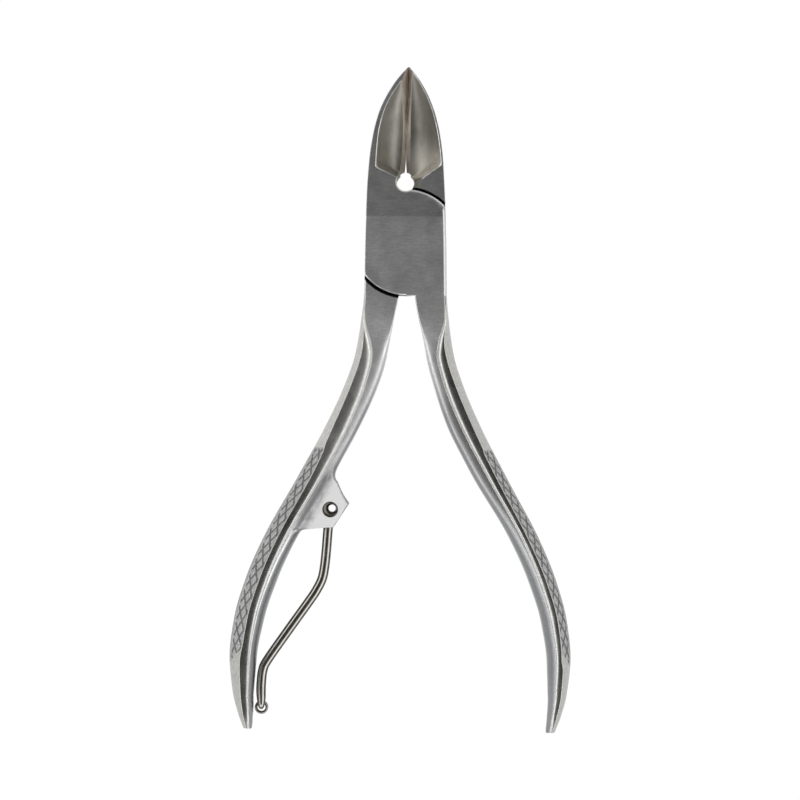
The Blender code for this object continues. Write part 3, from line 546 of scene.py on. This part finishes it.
SATIN, POLISHED, BRUSHED, DISH, MILLED, JOINT, RIM, BEVEL, CREST, GROOVE = range(10)
EVEN = (1, 1, 1)
LEVER_STEELS = [
    satin_steel(),
    polished_steel(),
    brushed_steel(),
    dish_steel(),
    # the milled texture: duller metal
    plain_steel("milled_steel", EVEN, (3.0, 4.0, 0.7), [(0.35, 0.34), (0.65, 0.58)], (0.36, 0.48), 0.012),
    # inside the joint's gaps: painted nearly black, a painted shade for the narrow gaps between the parts
    plain_steel(
        "joint_steel", EVEN, (2.0, 4.0, 0.6), [(0.3, 0.012), (0.7, (0.04, 0.038, 0.035))],
        (0.5, 0.7), 0.02, metallic=0.6,
    ),
    # bright chamfers, painted lighter than the steel beside them as a painted highlight: the dishes' rims,
    # the keyhole's edge, the boss's edge
    plain_steel(
        "rim_steel", EVEN, (1.6,), [(0.3, (0.80, 0.80, 0.79)), (0.7, (0.95, 0.95, 0.94))], (0.3, 0.45), 0.004
    ),
    # the two cutting bevels: brown temper colour left by grinding
    plain_steel(
        "bevel_steel", (1, 0.35, 1), (0.8, 3.0, 0.6),
        [(0.3, (0.76, 0.70, 0.63)), (0.7, (0.94, 0.88, 0.81))], (0.45, 0.55), 0.005,
    ),
    # the rounded ridges: painted bright, a painted highlight along each ridge, and a little matt
    plain_steel(
        "crest_steel", (1.0, 0.4, 1.0), (1.5,),
        [(0.3, (0.82, 0.82, 0.815)), (0.7, (0.97, 0.97, 0.965))], (0.5, 0.62), 0.003,
    ),
    # the bottoms of the milled grooves: dull, and painted dark as a painted shade in the grooves
    plain_steel(
        "groove_steel", EVEN, (1.6, 4.0, 0.7),
        [(0.3, (0.12, 0.12, 0.115)), (0.7, (0.26, 0.258, 0.25))], (0.45, 0.6), 0.01,
    ),
]
WIRE_STEEL = wire_steel()
# the tubular rivet: painted dark, a painted shade for the inside of the ear's hole
TUBE_STEEL = plain_steel(
    "tube_steel", EVEN, (1.4,), [(0.3, (0.10, 0.09, 0.075)), (0.7, (0.20, 0.185, 0.16))], (0.22, 0.34), 0.006
)


# --- the levers' sections ---
ear_neck = curve_through(EAR_NECK)
ear_heel = curve_through(EAR_HEEL)


def front_z(y):
    lean = max(0.0, y - SLOPE_START_Y) / (TIP_Y - SLOPE_START_Y)
    return between(THICKNESS, TIP_FRONT_Z, lean)


def back_z(y):
    lean = max(0.0, y - BACK_SLOPE_START_Y) / (TIP_Y - BACK_SLOPE_START_Y)
    return between(0.0, TIP_BACK_Z, lean)


def blade_gap(y):
    """The gap between the closed edges, which opens into a slit above the keyhole."""
    slit_top, slit_length, widening = 17.5, 3.2, 0.37
    return BLADE_GAP + widening * (max(0.0, slit_top - y) / slit_length) ** 2


def silhouette(y, side):
    return side * outer(y) + head_shift(y)


def ear_edge(y):
    """How far the ear's free edge is from the middle line, or NO_EAR."""
    nose, heel = EAR_NECK[-1], EAR_HEEL[-1]
    if not EAR_HEEL[0][0] < y < EAR_NECK[0][0]:
        return NO_EAR
    if y >= nose[0]:
        return ear_neck(y)
    if y >= heel[0]:
        return between(nose[1], heel[1], (y - nose[0]) / (heel[0] - nose[0]))
    return ear_heel(y)


def rounded(corner, before, after, reach, steps):
    """Points that round a corner between two neighbouring points, within reach of it."""
    corner, before, after = Vector(corner), Vector(before), Vector(after)
    start = corner + (before - corner).normalized() * min(reach, (before - corner).length * 0.9)
    end = corner + (after - corner).normalized() * min(reach, (after - corner).length * 0.9)
    return bezier([start, corner, end], steps) + [end]


def outside(points, centre, reach):
    """A polyline without the end that lies within reach of centre, cut exactly at that distance."""
    if (points[0] - centre).length < (points[-1] - centre).length:
        return outside(points[::-1], centre, reach)[::-1]
    kept = [p for p in points if (p - centre).length > reach]
    if len(kept) == len(points):
        return kept
    a, b = kept[-1], points[len(kept)]
    far, near = (a - centre).length, (b - centre).length
    return [*kept, a.lerp(b, (far - reach) / (far - near))]


def resample(points, count):
    """count points evenly spaced along a polyline, both ends included."""
    line = np.array([(p[0], p[1]) for p in points])
    lengths = np.concatenate([[0], np.cumsum(np.hypot(*np.diff(line, axis=0).T))])
    wanted = np.linspace(0, lengths[-1], count)
    xs, zs = np.interp(wanted, lengths, line[:, 0]), np.interp(wanted, lengths, line[:, 1])
    return [Vector(p) for p in zip(xs, zs)]


def half_section(crown, ridge, arris, edge, ridge_z, arris_z, square, slope, crest, arris_radius, lip):
    """The upper half of a section, as (x, height above the mid-plane) from the inner to the outer side.

    lip is the share of the hollow's width in which it climbs to the ridge. Fixed numbers of points go to
    the crown, the rounded crest, the hollow, the rounded arris and the flank.
    """
    fine = 24
    direction = copysign(1.0, edge - arris)
    run = 0.4 * hypot(edge - arris, arris_z)
    angle = radians(slope)
    hollow = bezier([(ridge, ridge_z), (between(ridge, arris, lip), arris_z), (arris, arris_z)], fine)
    hollow.append(Vector((arris, arris_z)))
    side = [(arris, arris_z), (arris + direction * run * cos(angle), arris_z - run * sin(angle))]
    flank = bezier([*side, (edge, arris_z * square), (edge, 0)], fine) + [Vector((edge, 0))]
    crest = min(crest, 0.35 * abs(arris - ridge))
    arris_radius = min(arris_radius, 0.2 * abs(arris - ridge), 0.3 * abs(edge - arris))
    top, corner = Vector((ridge, ridge_z)), Vector((arris, arris_z))
    wall, crown = crown[:WALL_STEPS], outside(crown[WALL_STEPS:], top, crest)
    hollow_kept = outside(outside(hollow, top, crest), corner, arris_radius)
    flank = outside(flank, corner, arris_radius)
    crest_turn = rounded(top, crown[-1], hollow_kept[0], crest, CREST_STEPS)
    arris_turn = rounded(corner, hollow_kept[-1], flank[0], arris_radius, ARRIS_STEPS)
    return (
        wall
        + resample([*crown, crest_turn[0]], CROWN_STEPS - WALL_STEPS + 1)[:-1]
        + crest_turn[:-1]
        + resample([crest_turn[-1], *hollow_kept, arris_turn[0]], HOLLOW_STEPS + 1)[:-1]
        + arris_turn[:-1]
        + resample([arris_turn[-1], *flank], FLANK_STEPS + 1)
    )


def handle_crown(inner, ridge, ridge_z, square, drop):
    """Up the inner side and over to the ridge. The first ten points are on the wall."""
    shoulder = ridge_z - drop
    corners = [(inner, 0), (inner, shoulder * square), (between(ridge, inner, square), shoulder)]
    line = bezier([*corners, (ridge, ridge_z)], 120)
    steps = [b - a for a, b in zip(line, line[1:])]
    turn = next((k for k in range(5, 70) if abs(steps[k].x) > abs(steps[k].y)), 70)
    return resample(line[: turn + 1], 11)[:-1] + resample(line[turn:], CROWN_POINTS - 10)


def ear_crown(y, free_edge, ridge, ridge_z):
    """Up the ear's edge, broken most at the nose, across its cheek, and up a fillet to the ridge."""
    half, away = EAR_THICKNESS / 2, copysign(1.0, free_edge - ridge)
    foot = away * min(2.4, 0.6 * abs(free_edge - ridge))
    edge_break = EAR_EDGE_BREAK + 0.4 * exp(-(((y - EAR_NECK[-1][0]) / 1.6) ** 2))
    edge = rounded((free_edge, half), (free_edge, 0), (ridge, half), edge_break, 6)
    wall = resample([(free_edge, 0), edge[0]], 6)[:-1]
    cheek = resample([edge[-1], (ridge + foot, half)], 14)[1:]
    fillet = [(ridge + foot, half), (ridge + foot * 0.6, half), (ridge + foot * 0.4, ridge_z - crest_drop(y))]
    start = wall + edge + cheek
    return start + resample(bezier([*fillet, (ridge, ridge_z)], 40), CROWN_POINTS - len(start) + 1)[1:]


def ring_of(y, upper, lower):
    ring = [(p[0], y, MID + p[1]) for p in upper]
    return ring + [(p[0], y, MID - p[1]) for p in reversed(lower[1:-1])]


def knurl_depth(along, across, y, share):
    """How far the surface is sunk at a point: along the handle, and across from the mid-plane."""
    end = KNURL_END - KNURL_END_LEAN * (1 - share)
    zone = smooth_share((KNURL_TOP - y) / 0.35) * smooth_share((y - end) / 0.3)
    zone *= smooth_share((1 - share) / 0.12) * smooth_share((share - SMOOTH_STRIP) / 0.1)
    deepest = 0.0
    for sign in (-1, 1):
        turns = along / DIAMOND[0] + sign * across / DIAMOND[1]
        away = abs(turns - round(turns)) / hypot(1 / DIAMOND[0], 1 / DIAMOND[1])
        deepest = max(deepest, exp(-((away / GROOVE_WIDTH) ** 2)))
    return zone * (KNURL_RECESS + GROOVE_DEPTH * deepest)


def with_knurl(half, along, y, deep):
    """Sinks the flank of a half section by the texture's depth, and notes which points are in a groove."""
    flank = half[-FLANK_STEPS - 1 :]
    steps = [(b - a).length for a, b in zip(flank, flank[1:])]
    moved = []
    for k, point in enumerate(flank):
        before, after = flank[max(0, k - 1)], flank[min(FLANK_STEPS, k + 1)]
        tangent = (after - before).normalized() if k < FLANK_STEPS else Vector((0, -1))
        inwards = Vector((tangent.y, -tangent.x))
        if inwards.x * flank[-1].x > 0:
            inwards = -inwards
        across = sum(steps[k:])
        depth = knurl_depth(along, across, y, across / sum(steps))
        moved.append(point + inwards * depth)
        if depth > KNURL_RECESS + 0.45 * GROOVE_DEPTH:
            deep.add(k)
    return half[: -FLANK_STEPS - 1] + moved


def handle_section(y, side, profile, along, deep):
    """side is +1 for the right handle and -1 for the left one. deep gets the flank points in a groove."""
    edge, ridge_z = outer(y), ridge_height(y)
    inner, ridge, arris = (side * (edge - profile[key](y)) for key in ("inner", "ridge", "arris"))
    crown = handle_crown(inner, ridge, ridge_z, inner_square(y), crest_drop(y))
    share = smooth_share((y + 24) / 10)
    crown = [a.lerp(b, share) for a, b in zip(crown, block_crown(inner, ridge, ridge_z))]
    if side < 0:
        reach = inner + ear_edge(y)
        if reach < 0:
            share = smooth_share(-reach / EAR_BLEND)
            crown = [a.lerp(b, share) for a, b in zip(crown, ear_crown(y, -ear_edge(y), ridge, ridge_z))]
    shape = (ridge_z, arris_height(y), outer_square(y), arris_slope(y), crest_round(y), ARRIS_ROUND)
    half = half_section(crown, ridge, arris, side * edge, *shape, lip_share(y))
    if KNURL_END - KNURL_END_LEAN - 0.5 < y < KNURL_TOP + 0.5:
        half = with_knurl(half, along, y, deep)
    return ring_of(y, half, half)


def block_crown(inner, ridge, height):
    reach = min(EDGE_BREAK, 0.25 * abs(ridge - inner))
    turn = rounded((inner, height), (inner, 0), (ridge, height), reach, 4)
    wall = resample([(inner, 0), turn[0]], 8)[:-1]
    return wall + turn + resample([turn[-1], (ridge, height)], CROWN_POINTS - 11)[1:]


def block_section(y, inner, edge, edge_break=EDGE_BREAK):
    small = min(edge_break, 0.2 * abs(edge - inner))
    step = copysign(small, edge - inner)
    halves = []
    for height in (front_z(y) - MID, MID - back_z(y)):
        crown = block_crown(inner, edge - 2 * step, height)
        shape = (height, height - small, 0.96, 86, 0.02, 0.02, 0.5)
        halves.append(half_section(crown, edge - 2 * step, edge - step, edge, *shape))
    return ring_of(y, *halves)


def spread(low, high, spacing):
    count = max(1, round((high - low) / spacing))
    return [between(low, high, k / count) for k in range(count)]


def lever_blank(name, side, handle):
    """A whole lever before the joint is cut: handle on one side, jaw on the other."""
    profile = {key: curve_through(points) for key, points in handle.items()}
    heel, corner = EAR_HEEL[-2][0], EAR_HEEL[-1][0]
    ys = [TAIL_Y, TAIL_Y + 0.08] + spread(TAIL_Y + 0.25, KNURL_END - 4.0, 0.35)
    ys += spread(KNURL_END - 4.0, heel, 0.13) + spread(heel, corner, 0.05)
    ys += spread(corner, KNURL_TOP + 0.6, 0.13) + spread(KNURL_TOP + 0.6, -20, 0.45)
    ys += spread(-20, -12.5, 0.3) + spread(-12.5, CROTCH_Y - 0.01, 0.55) + [CROTCH_Y - 0.01]
    rings, grooves, along, last = [], [], 0.0, ys[0]
    for y in ys:
        along += hypot(y - last, outer(y) - outer(last))
        last = y
        grooves.append(set())
        rings.append(handle_section(y, side, profile, along, grooves[-1]))
    joint = [CROTCH_Y, *spread(-9.5, SLOPE_START_Y, 1.5), SLOPE_START_Y, 6.5, 8, 9.3, BOSS_RADIUS + 0.01]
    for y in joint:
        edge_break = RIGHT_EDGE_BREAK if side > 0 and y < 7 else EDGE_BREAK
        rings.append(block_section(y, silhouette(y, -side), silhouette(y, side), edge_break))
    bright_rings = len(rings) - 4
    for y in [*spread(BOSS_RADIUS + 0.02, 34.0, 0.45), 34.0, 34.2, 34.4, 34.46]:
        meeting = contact(y) - side * blade_gap(y) / 2
        rings.append(block_section(y, silhouette(y, -side), meeting, 0.01))
    top, before_hollow = len(HALF_ZONES), CROWN_STEPS + CREST_STEPS - 1

    def zone_of(r, k):
        half = k if k < top else 2 * (top - 1) - k - 1
        if r >= len(ys) - 1:
            chamfer = 0 <= half - before_hollow <= HOLLOW_STEPS + ARRIS_STEPS
            # the right lever's chamfer along the joint takes the rim steel's painted highlight
            return RIM if side > 0 and r < bright_rings and chamfer else SATIN
        zone = HALF_ZONES[max(0, min(half, top - 1))]
        y = ys[r]
        if zone == "crown":
            return SATIN if y > BRUSHED_TOP else BRUSHED
        if zone == "crest":
            return SATIN if y > CREST_TOP else CREST
        if zone == "flank":
            index = half - (top - FLANK_STEPS - 1)
            if index in grooves[r]:
                return GROOVE
            return MILLED if KNURL_END - KNURL_END_LEAN * index / FLANK_STEPS < y < KNURL_TOP else POLISHED
        return POLISHED

    return loft(name, rings, None, zone_of, SATIN)


# --- cutters ---
def other_side_cutters(face):
    """Clears the other lever's room. face gives the outer face's height, for the bright bevel on the boss."""
    reach, arc_steps, lip, drop = 14.0, 72, 0.16, 0.2
    wide, deep = BOSS_RADIUS + ARC_GAP, MID + HALF_GAP / 2
    profile = [(wide + lip + 0.5, -0.5), (wide + lip, 0), (wide, lip), (wide, deep)]
    cutters = [turned((0, 0), profile, 192, JOINT)]
    upper = [(-0.6, 10.6), (-0.6, 10.9), (1.0, reach), (reach, reach), (reach, 0.3)]
    lower = [(0.2, -reach), (-reach, -reach), (-reach, -0.3)]
    for corners, start, end, inset in ((upper, 2, 93, 0.34), (lower, 182, 271, 0.2)):
        rings = []
        for grow, rise in ((0, -9), (0, -drop), (-2 * inset, drop), (-2 * inset, 3)):
            outline = arc((0, 0), BOSS_RADIUS + grow, start, end, arc_steps) + corners
            rings.append([(x, y, face(y) + rise) for x, y in outline])
        zone_of = lambda r, k: JOINT if r == 0 or k >= arc_steps else RIM
        cutters.append(loft("cutter", rings, None, zone_of, JOINT))
    return cutters


def keyhole_outline(grown):
    """The keyhole in plan, grown on all sides."""
    x = KEYHOLE_CENTRE[0]
    width, top = KEYHOLE_NECK
    radius, half = KEYHOLE_RADIUS + grown, width / 2 + grown
    rise = degrees(acos(half / radius))
    shoulder, crown = top - 0.4 + grown * 0.4, top + grown
    neck = [(half, shoulder), (half / 2, crown), (-half / 2, crown), (-half, shoulder)]
    return arc(KEYHOLE_CENTRE, radius, 180 - rise, 360 + rise, 72) + [(x + dx, y) for dx, y in neck]


def keyhole_cutter():
    plain, wide = keyhole_outline(0), keyhole_outline(2 * KEYHOLE_CHAMFER)
    rings = [
        [(x, y, -1) for x, y in plain],
        [(x, y, front_z(y) - KEYHOLE_CHAMFER) for x, y in plain],
        [(x, y, front_z(y) + KEYHOLE_CHAMFER) for x, y in wide],
    ]
    return loft("cutter", rings, None, lambda r, k: RIM if r else POLISHED, POLISHED)


def relief_cutter():
    reach = 1.8
    rings = []
    for x, y in KEYHOLE_RELIEF:
        top = front_z(y)
        rings.append([(x + 0.4, y, top + 0.4), (x - reach, y, top - reach), (x - reach, y, top + 1)])
    return loft("cutter", rings, cap_zone=DISH)


def wall_share(u, power=2.3):
    return 1 - (1 - min(1.0, max(0.0, u))) ** power


class Dish:
    """One jaw's hollow and its cutting bevel. side is -1 for the left jaw."""

    def __init__(self, side):
        self.side = side
        shape = DISHES[side]
        self.rim, self.ridge = curve_through(shape["rim"]), curve_through(shape["ridge"])
        self.end_x, self.end_y, self.end_slope = shape["end"]
        self.tip_y = shape["tip"]

    def rim_x(self, y):
        return silhouette(y, self.side) - self.side * self.rim(y)

    def ridge_x(self, y):
        if y > self.tip_y:
            return self.rim_x(y)
        return contact(y) + self.side * self.ridge(y)

    def end_line(self, x):
        return self.end_y + self.end_slope * (abs(x) - self.end_x)

    def depth(self, y, from_end):
        if y > self.tip_y:
            return 0.0
        full = front_z(y) - back_z(y) - RIDGE_ABOVE_BACK
        toe = (y - self.end_y) / (self.tip_y - self.end_y)
        return full * wall_share(from_end / DISH_END_REACH) * (1 - max(0.0, toe) ** 6)

    def hollow(self, columns=40, rows=80):
        """Cuts the concave floor. Its outermost cells lean out to leave a bright chamfer at the rim."""
        chamfer = 0.2
        low_rim = self.end_line(self.rim_x(14.2))
        low_ridge = self.end_line(self.ridge_x(12.2))
        grid = []
        for j in range(-1, rows + 1):
            v = max(0, j / rows) ** 1.25
            y_rim, y_ridge = between(low_rim, self.tip_y, v), between(low_ridge, self.tip_y, v)
            before = chamfer if j < 0 else 0.0
            row = []
            for i in range(columns + 1):
                u = i / columns
                y = between(y_rim, y_ridge, u)
                x = between(self.rim_x(y_rim), self.ridge_x(y_ridge) - 0.05 * self.side, u)
                down = self.depth(y, y - self.end_line(x)) * wall_share(u)
                row.append((x, y - before, front_z(y) - down + before * 0.8 - chamfer * 0.5))
            x, y, z = row[0]
            row.insert(0, (x + chamfer * self.side, y, z + chamfer * 0.8))
            x, y, z = row[-1]
            row.append((x - 0.3 * self.side, y, z + 0.02))
            grid.append(row)
        return heightfield(grid, THICKNESS + 1.5)

    def bevel(self):
        """Cuts the flat from the dish's ridge down to the cutting edge."""
        rings = []
        for y in [*spread(12.0, 34.1, 0.4), 34.1]:
            x, high, beyond = self.ridge_x(y), THICKNESS + 2, 0.6
            top = front_z(y) - self.depth(y, 3 * DISH_END_REACH) + 0.02
            edge_z, meeting = back_z(y) + EDGE_HEIGHT, contact(y)
            slope = (top - edge_z) / abs(x - meeting)
            low = (meeting - self.side * beyond, y, max(edge_z - slope * beyond, -0.9))
            crest = self.side * min(0.1, 0.2 * abs(x - meeting))
            rim, foot = (x + crest, y, top + 0.03), (x - crest, y, between(top, edge_z, 0.2) + 0.06)
            rings.append([rim, foot, (meeting, y, edge_z), low, (low[0], y, high), (rim[0], y, high)])
        return loft("cutter", rings, None, lambda r, k: RIM if k == 0 else BEVEL, BEVEL)


def heightfield(grid, lid):
    """A solid between a grid of points, its floor, and a flat lid. Its first row and column are the rim."""
    wide, under = len(grid[0]), len(grid) * len(grid[0])
    floor = [p for row in grid for p in row]
    points = floor + [(x, y, lid) for x, y, _ in floor]
    faces, zones = [], []
    for j in range(len(grid) - 1):
        for i in range(wide - 1):
            a = j * wide + i
            zones += [RIM if j == 0 or i == 0 else DISH, DISH]
            faces.append((a, a + 1, a + wide + 1, a + wide))
            faces.append(tuple(under + k for k in (a, a + wide, a + wide + 1, a + 1)))
    last = (len(grid) - 1) * wide
    edge = list(range(wide)) + list(range(2 * wide - 1, last + wide, wide))
    edge += list(range(last + wide - 2, last - 1, -1)) + list(range(last - wide, 0, -wide))
    faces += [(b, a, under + a, under + b) for a, b in zip(edge, edge[1:] + edge[:1])]
    zones += [DISH] * (len(faces) - len(zones))
    return solid("cutter", points, faces, None, zones)


def ear_slot(centre):
    """Room for the wire's eye, and for the wire on its way from folded to swung out."""
    half_width, eye_room, reach = 1.25, EYE_RADIUS + 0.3, 12.0
    stowed, swung = -99.0, -6.0
    side = degrees(asin(half_width / eye_room))
    outline = arc(centre, eye_room, swung + side, stowed + 360 - side, 60)
    for angle, across in ((stowed, -half_width), (swung, half_width)):
        a = radians(angle)
        x = centre[0] + reach * cos(a) - across * sin(a)
        outline.append((x, centre[1] + reach * sin(a) + across * cos(a)))
    rings = [[(x, y, MID + rise) for x, y in outline] for rise in (-EAR_SLOT / 2, EAR_SLOT / 2)]
    return loft("cutter", rings, cap_zone=BRUSHED)


def ear_hole(centre):
    low, high = MID - EAR_THICKNESS / 2, MID + EAR_THICKNESS / 2
    mouth, bore, depth = EAR_MOUTH_RADIUS, EAR_HOLE_RADIUS, 0.5
    profile = [
        (mouth + 0.5, low - 0.5), (mouth, low), (bore, low + depth),
        (bore, high - depth), (mouth, high), (mouth + 0.5, high + 0.5),
    ]
    return turned(centre, profile, 96, BRUSHED)


# --- pieces ---
def front_lever():
    """Left jaw, front half of the joint and right handle."""
    lever = lever_blank("front_lever_look", 1, RIGHT_HANDLE)
    dish = Dish(-1)
    bore = turned((0, 0), [(BORE_RADIUS, -1), (BORE_RADIUS, BORE_TOP)])
    cut(lever, [*other_side_cutters(front_z), keyhole_cutter(), dish.hollow(), dish.bevel(), bore])
    finish_piece(lever, "front_half", "front_lever")


def back_lever():
    """Right jaw, back half of the joint and left handle with the spring's ear."""
    lever = lever_blank("back_lever_look", -1, LEFT_HANDLE)
    dish, ear = Dish(1), joints["spring_swing"]
    cutters = [turn_over(cutter) for cutter in other_side_cutters(lambda y: THICKNESS - back_z(y))]
    cutters += [keyhole_cutter(), dish.hollow(), dish.bevel(), relief_cutter()]
    cutters += [turned((0, 0), [*COUNTERSINK, (BORE_RADIUS, THICKNESS)]), ear_slot(ear), ear_hole(ear)]
    cut(lever, cutters)
    finish_piece(lever, "back_half", "back_lever")


def spring_rivet():
    """The flared tube through the ear. Its bore runs a little off centre from the funnels inwards."""
    high = MID + EAR_THICKNESS / 2
    mouth, body, bore = TUBE_RIVET_MOUTH, TUBE_RIVET_RADIUS, TUBE_RIVET_BORE
    funnel_mouth, funnel_depth, steps = mouth - 0.1, 1.5, 8
    half = [(body, high - 0.5), (between(body, mouth, 0.5), high - 0.2), (mouth, high - 0.03)]
    half.append((mouth - 0.04, high))
    for k in range(steps + 1):
        t = k / steps
        half.append((between(funnel_mouth, bore, sin(t * pi / 2)), high - funnel_depth * t**1.6))
    profile = [(r, 2 * MID - z) for r, z in reversed(half)] + half
    shifts = {}
    for index, (radius, z) in enumerate(profile):
        if radius < body - 0.02 and abs(z - MID) < EAR_THICKNESS / 2 - 0.01:
            shifts[index] = smooth_share((funnel_mouth - radius) / (funnel_mouth - bore))
    rivet = turned_ring("spring_rivet_look", joints["spring_swing"], profile, TUBE_STEEL, shifts)
    finish_piece(rivet, "back_half", "spring_rivet")


def wire_route():
    """Centre line and radius of the wire, rounded at its bends, with the hook through the roller."""
    x, y = joints["roller_spin"][0], joints["roller_spin"][1] + AXLE_RISE
    low, thin = ROLLER_Z[0] - 0.15 - NECK_RADIUS, NECK_RADIUS
    return [(px, py, MID, WIRE_RADIUS) for px, py in WIRE_ROUTE] + [
        (x - 0.02, y + 1.9, MID, 0.9), (x, y + 1.1, MID, 0.8), (x, y + 0.6, MID, 0.72),
        (x, y + 0.2, MID - 0.16, 0.62), (x, y, MID - 0.65, thin), (x, y, low + 0.6, thin),
        (x, y + 0.18, low + 0.17, thin), (x, y + 0.6, low, thin), (x, y + 1.7, low, thin),
    ]


def catmull_rom(points, steps):
    """A smooth line through the points."""
    rows = np.array([points[0], *points, points[-1]], float)
    found = []
    for a, b, c, d in zip(rows, rows[1:], rows[2:], rows[3:]):
        for k in range(steps):
            t = k / steps
            bend, twist = 2 * a - 5 * b + 4 * c - d, 3 * b - a - 3 * c + d
            found.append(0.5 * (2 * b + (c - a) * t + bend * t**2 + twist * t**3))
    return [*found, rows[-1]]


def tube(name, line, material, sides=32):
    """A round bar along a line of (x, y, z, radius), its frame carried along without twist."""
    centres = [Vector(p[:3]) for p in line]
    normal, rings = Vector((0, 0, 1)), []
    for k, point in enumerate(line):
        tangent = (centres[min(k + 1, len(line) - 1)] - centres[max(k - 1, 0)]).normalized()
        normal = (normal - tangent * normal.dot(tangent)).normalized()
        across = tangent.cross(normal)
        circle = arc((0, 0), point[3], 0, 360, sides)[:-1]
        rings.append([centres[k] + normal * u + across * v for u, v in circle])
    return loft(name, rings, [material])


def wire_spring():
    line = catmull_rom(wire_route(), 6)
    wire = tube("wire_spring_look", line, WIRE_STEEL)
    half, hole, centre = EYE_THICKNESS / 2, TUBE_RIVET_RADIUS + 0.06, joints["spring_swing"]
    rounding = 0.25
    eye_profile = [
        (EYE_RADIUS - rounding, MID - half), (EYE_RADIUS, MID - half + rounding),
        (EYE_RADIUS, MID + half - rounding), (EYE_RADIUS - rounding, MID + half),
    ]
    cut(wire, [turned(centre, eye_profile)], "UNION")
    cut(wire, [turned(centre, [(hole, MID - half - 1), (hole, MID + half + 1)])])
    wire.data.materials.clear()
    wire.data.materials.append(WIRE_STEEL)
    finish_piece(wire, "spring", "wire_spring")


def spring_roller():
    low, high = ROLLER_Z
    rounding, steps = 0.3, 6
    outside = []
    for k in range(steps + 1):
        a = pi / 2 * k / steps
        outside.append((ROLLER_RADIUS - rounding * (1 - sin(a)), low + rounding * (1 - cos(a))))
    outside += [(r, low + high - z) for r, z in reversed(outside)]
    inside = [
        (ROLLER_BORE + 0.12, high), (ROLLER_BORE + 0.03, high - 0.04), (ROLLER_BORE, high - 0.13),
        (ROLLER_BORE, low + 0.13), (ROLLER_BORE + 0.03, low + 0.04), (ROLLER_BORE + 0.12, low),
    ]
    roller = turned_ring("spring_roller_look", joints["roller_spin"], outside + inside, WIRE_STEEL)
    finish_piece(roller, "roller", "spring_roller")


def finish_piece(piece, body, node):
    piece.data.shade_smooth()
    piece.data.set_sharp_from_angle(angle=radians(40))
    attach(piece, body)
    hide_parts(node)


# --- stage ---
def floor():
    """A plain pale table top. It glows like a lit light table, so that it stays white."""
    side = 3.0
    mesh = bpy.data.meshes.new("table_top")
    corners = [(-side, -side), (side, -side), (side, side), (-side, side)]
    mesh.from_pydata([(x, y, -0.0002) for x, y in corners], [], [(0, 1, 2, 3)])
    material = bpy.data.materials.new("table_top")
    nodes = Nodes(material)
    nodes.set("Base Color", (0.02, 0.02, 0.02, 1))
    nodes.set("Roughness", 1.0)
    nodes.set("Specular IOR Level", 0.0)
    nodes.set("Emission Color", (1, 1, 1, 1))
    camera_ray = nodes.add("LightPath").outputs["Is Camera Ray"]
    nodes.set("Emission Strength", nodes.ramp(camera_ray, 0.0, 1.0, 0.8, 1.0))
    add_object("table_top", mesh, [material])


def studio():
    """Soft light from a ring of cloths round a dark zenith, as a world."""
    # the ring's (sine of the height above the table, strength)
    ring = [
        (-1.0, 0.9), (0.0, 0.95), (0.26, 1.0), (0.41, 1.7), (0.53, 2.9), (0.64, 1.5), (0.77, 0.14),
        (0.9, 0.07),
    ]
    # each panel's (direction, half angle, softness, strength)
    panels = [
        ((0.0, 0.66, 0.75), 26.0, 18.0, -1.6),
        ((-0.62, -0.25, 0.74), 12.0, 8.0, 1.0),
        ((0.62, -0.25, 0.74), 12.0, 8.0, 1.0),
    ]
    strongest, weakest = 3.0, 0.05
    world = bpy.data.worlds.new("studio")
    bpy.context.scene.world = world
    nodes = Nodes(world)
    nodes.tree.nodes.clear()
    direction = nodes.add("TexCoord").outputs["Generated"]
    share = nodes.ramp(nodes.axes(direction)["Z"], -1.0, 1.0, 0.0, 1.0)
    stops = [((height + 1) / 2, strength / strongest) for height, strength in ring]
    total = nodes.times(nodes.colours(share, stops), strongest)
    for centre, reach, softness, strength in panels:
        facing = nodes.vector("DOT_PRODUCT", direction, Vector(centre).normalized())
        edges = (reach + softness, max(0.0, reach - softness / 2))
        low, high = (cos(radians(edge)) for edge in edges)
        total = nodes.plus(total, nodes.eased(facing, low, high, 0.0, strength))
    light = nodes.add("Background", {"Strength": nodes.maths("MAXIMUM", total, weakest)})
    seen = nodes.add("Background", {"Color": (1, 1, 1, 1)})
    camera_ray = nodes.add("LightPath").outputs["Is Camera Ray"]
    mix = nodes.add("MixShader", {0: camera_ray, 1: light.outputs[0], 2: seen.outputs[0]})
    nodes.add("OutputWorld", {"Surface": mix.outputs[0]})


def camera():
    """Straight down on the front face, a long lens, turned by the small roll of the photographed tool."""
    seen_width, look_at, lens, roll = 156.7, (-0.76, -30.75), 150.0, -0.85
    data = bpy.data.cameras.new("camera")
    data.lens = lens
    distance = seen_width * MM * lens / data.sensor_width
    obj = bpy.data.objects.new("camera", data)
    obj.location = (look_at[0] * MM, look_at[1] * MM, distance + MID * MM)
    obj.rotation_euler = (0, 0, radians(-roll))
    bpy.context.scene.collection.objects.link(obj)
    bpy.context.scene.camera = obj


front_lever()
back_lever()
spring_rivet()
wire_spring()
spring_roller()
rivet = frame["nodes"]["pivot_rivet"]
rivet.data.materials.clear()
rivet.data.materials.append(LEVER_STEELS[SATIN])
floor()
studio()
camera()
bpy.context.scene.view_settings.view_transform = "Standard"
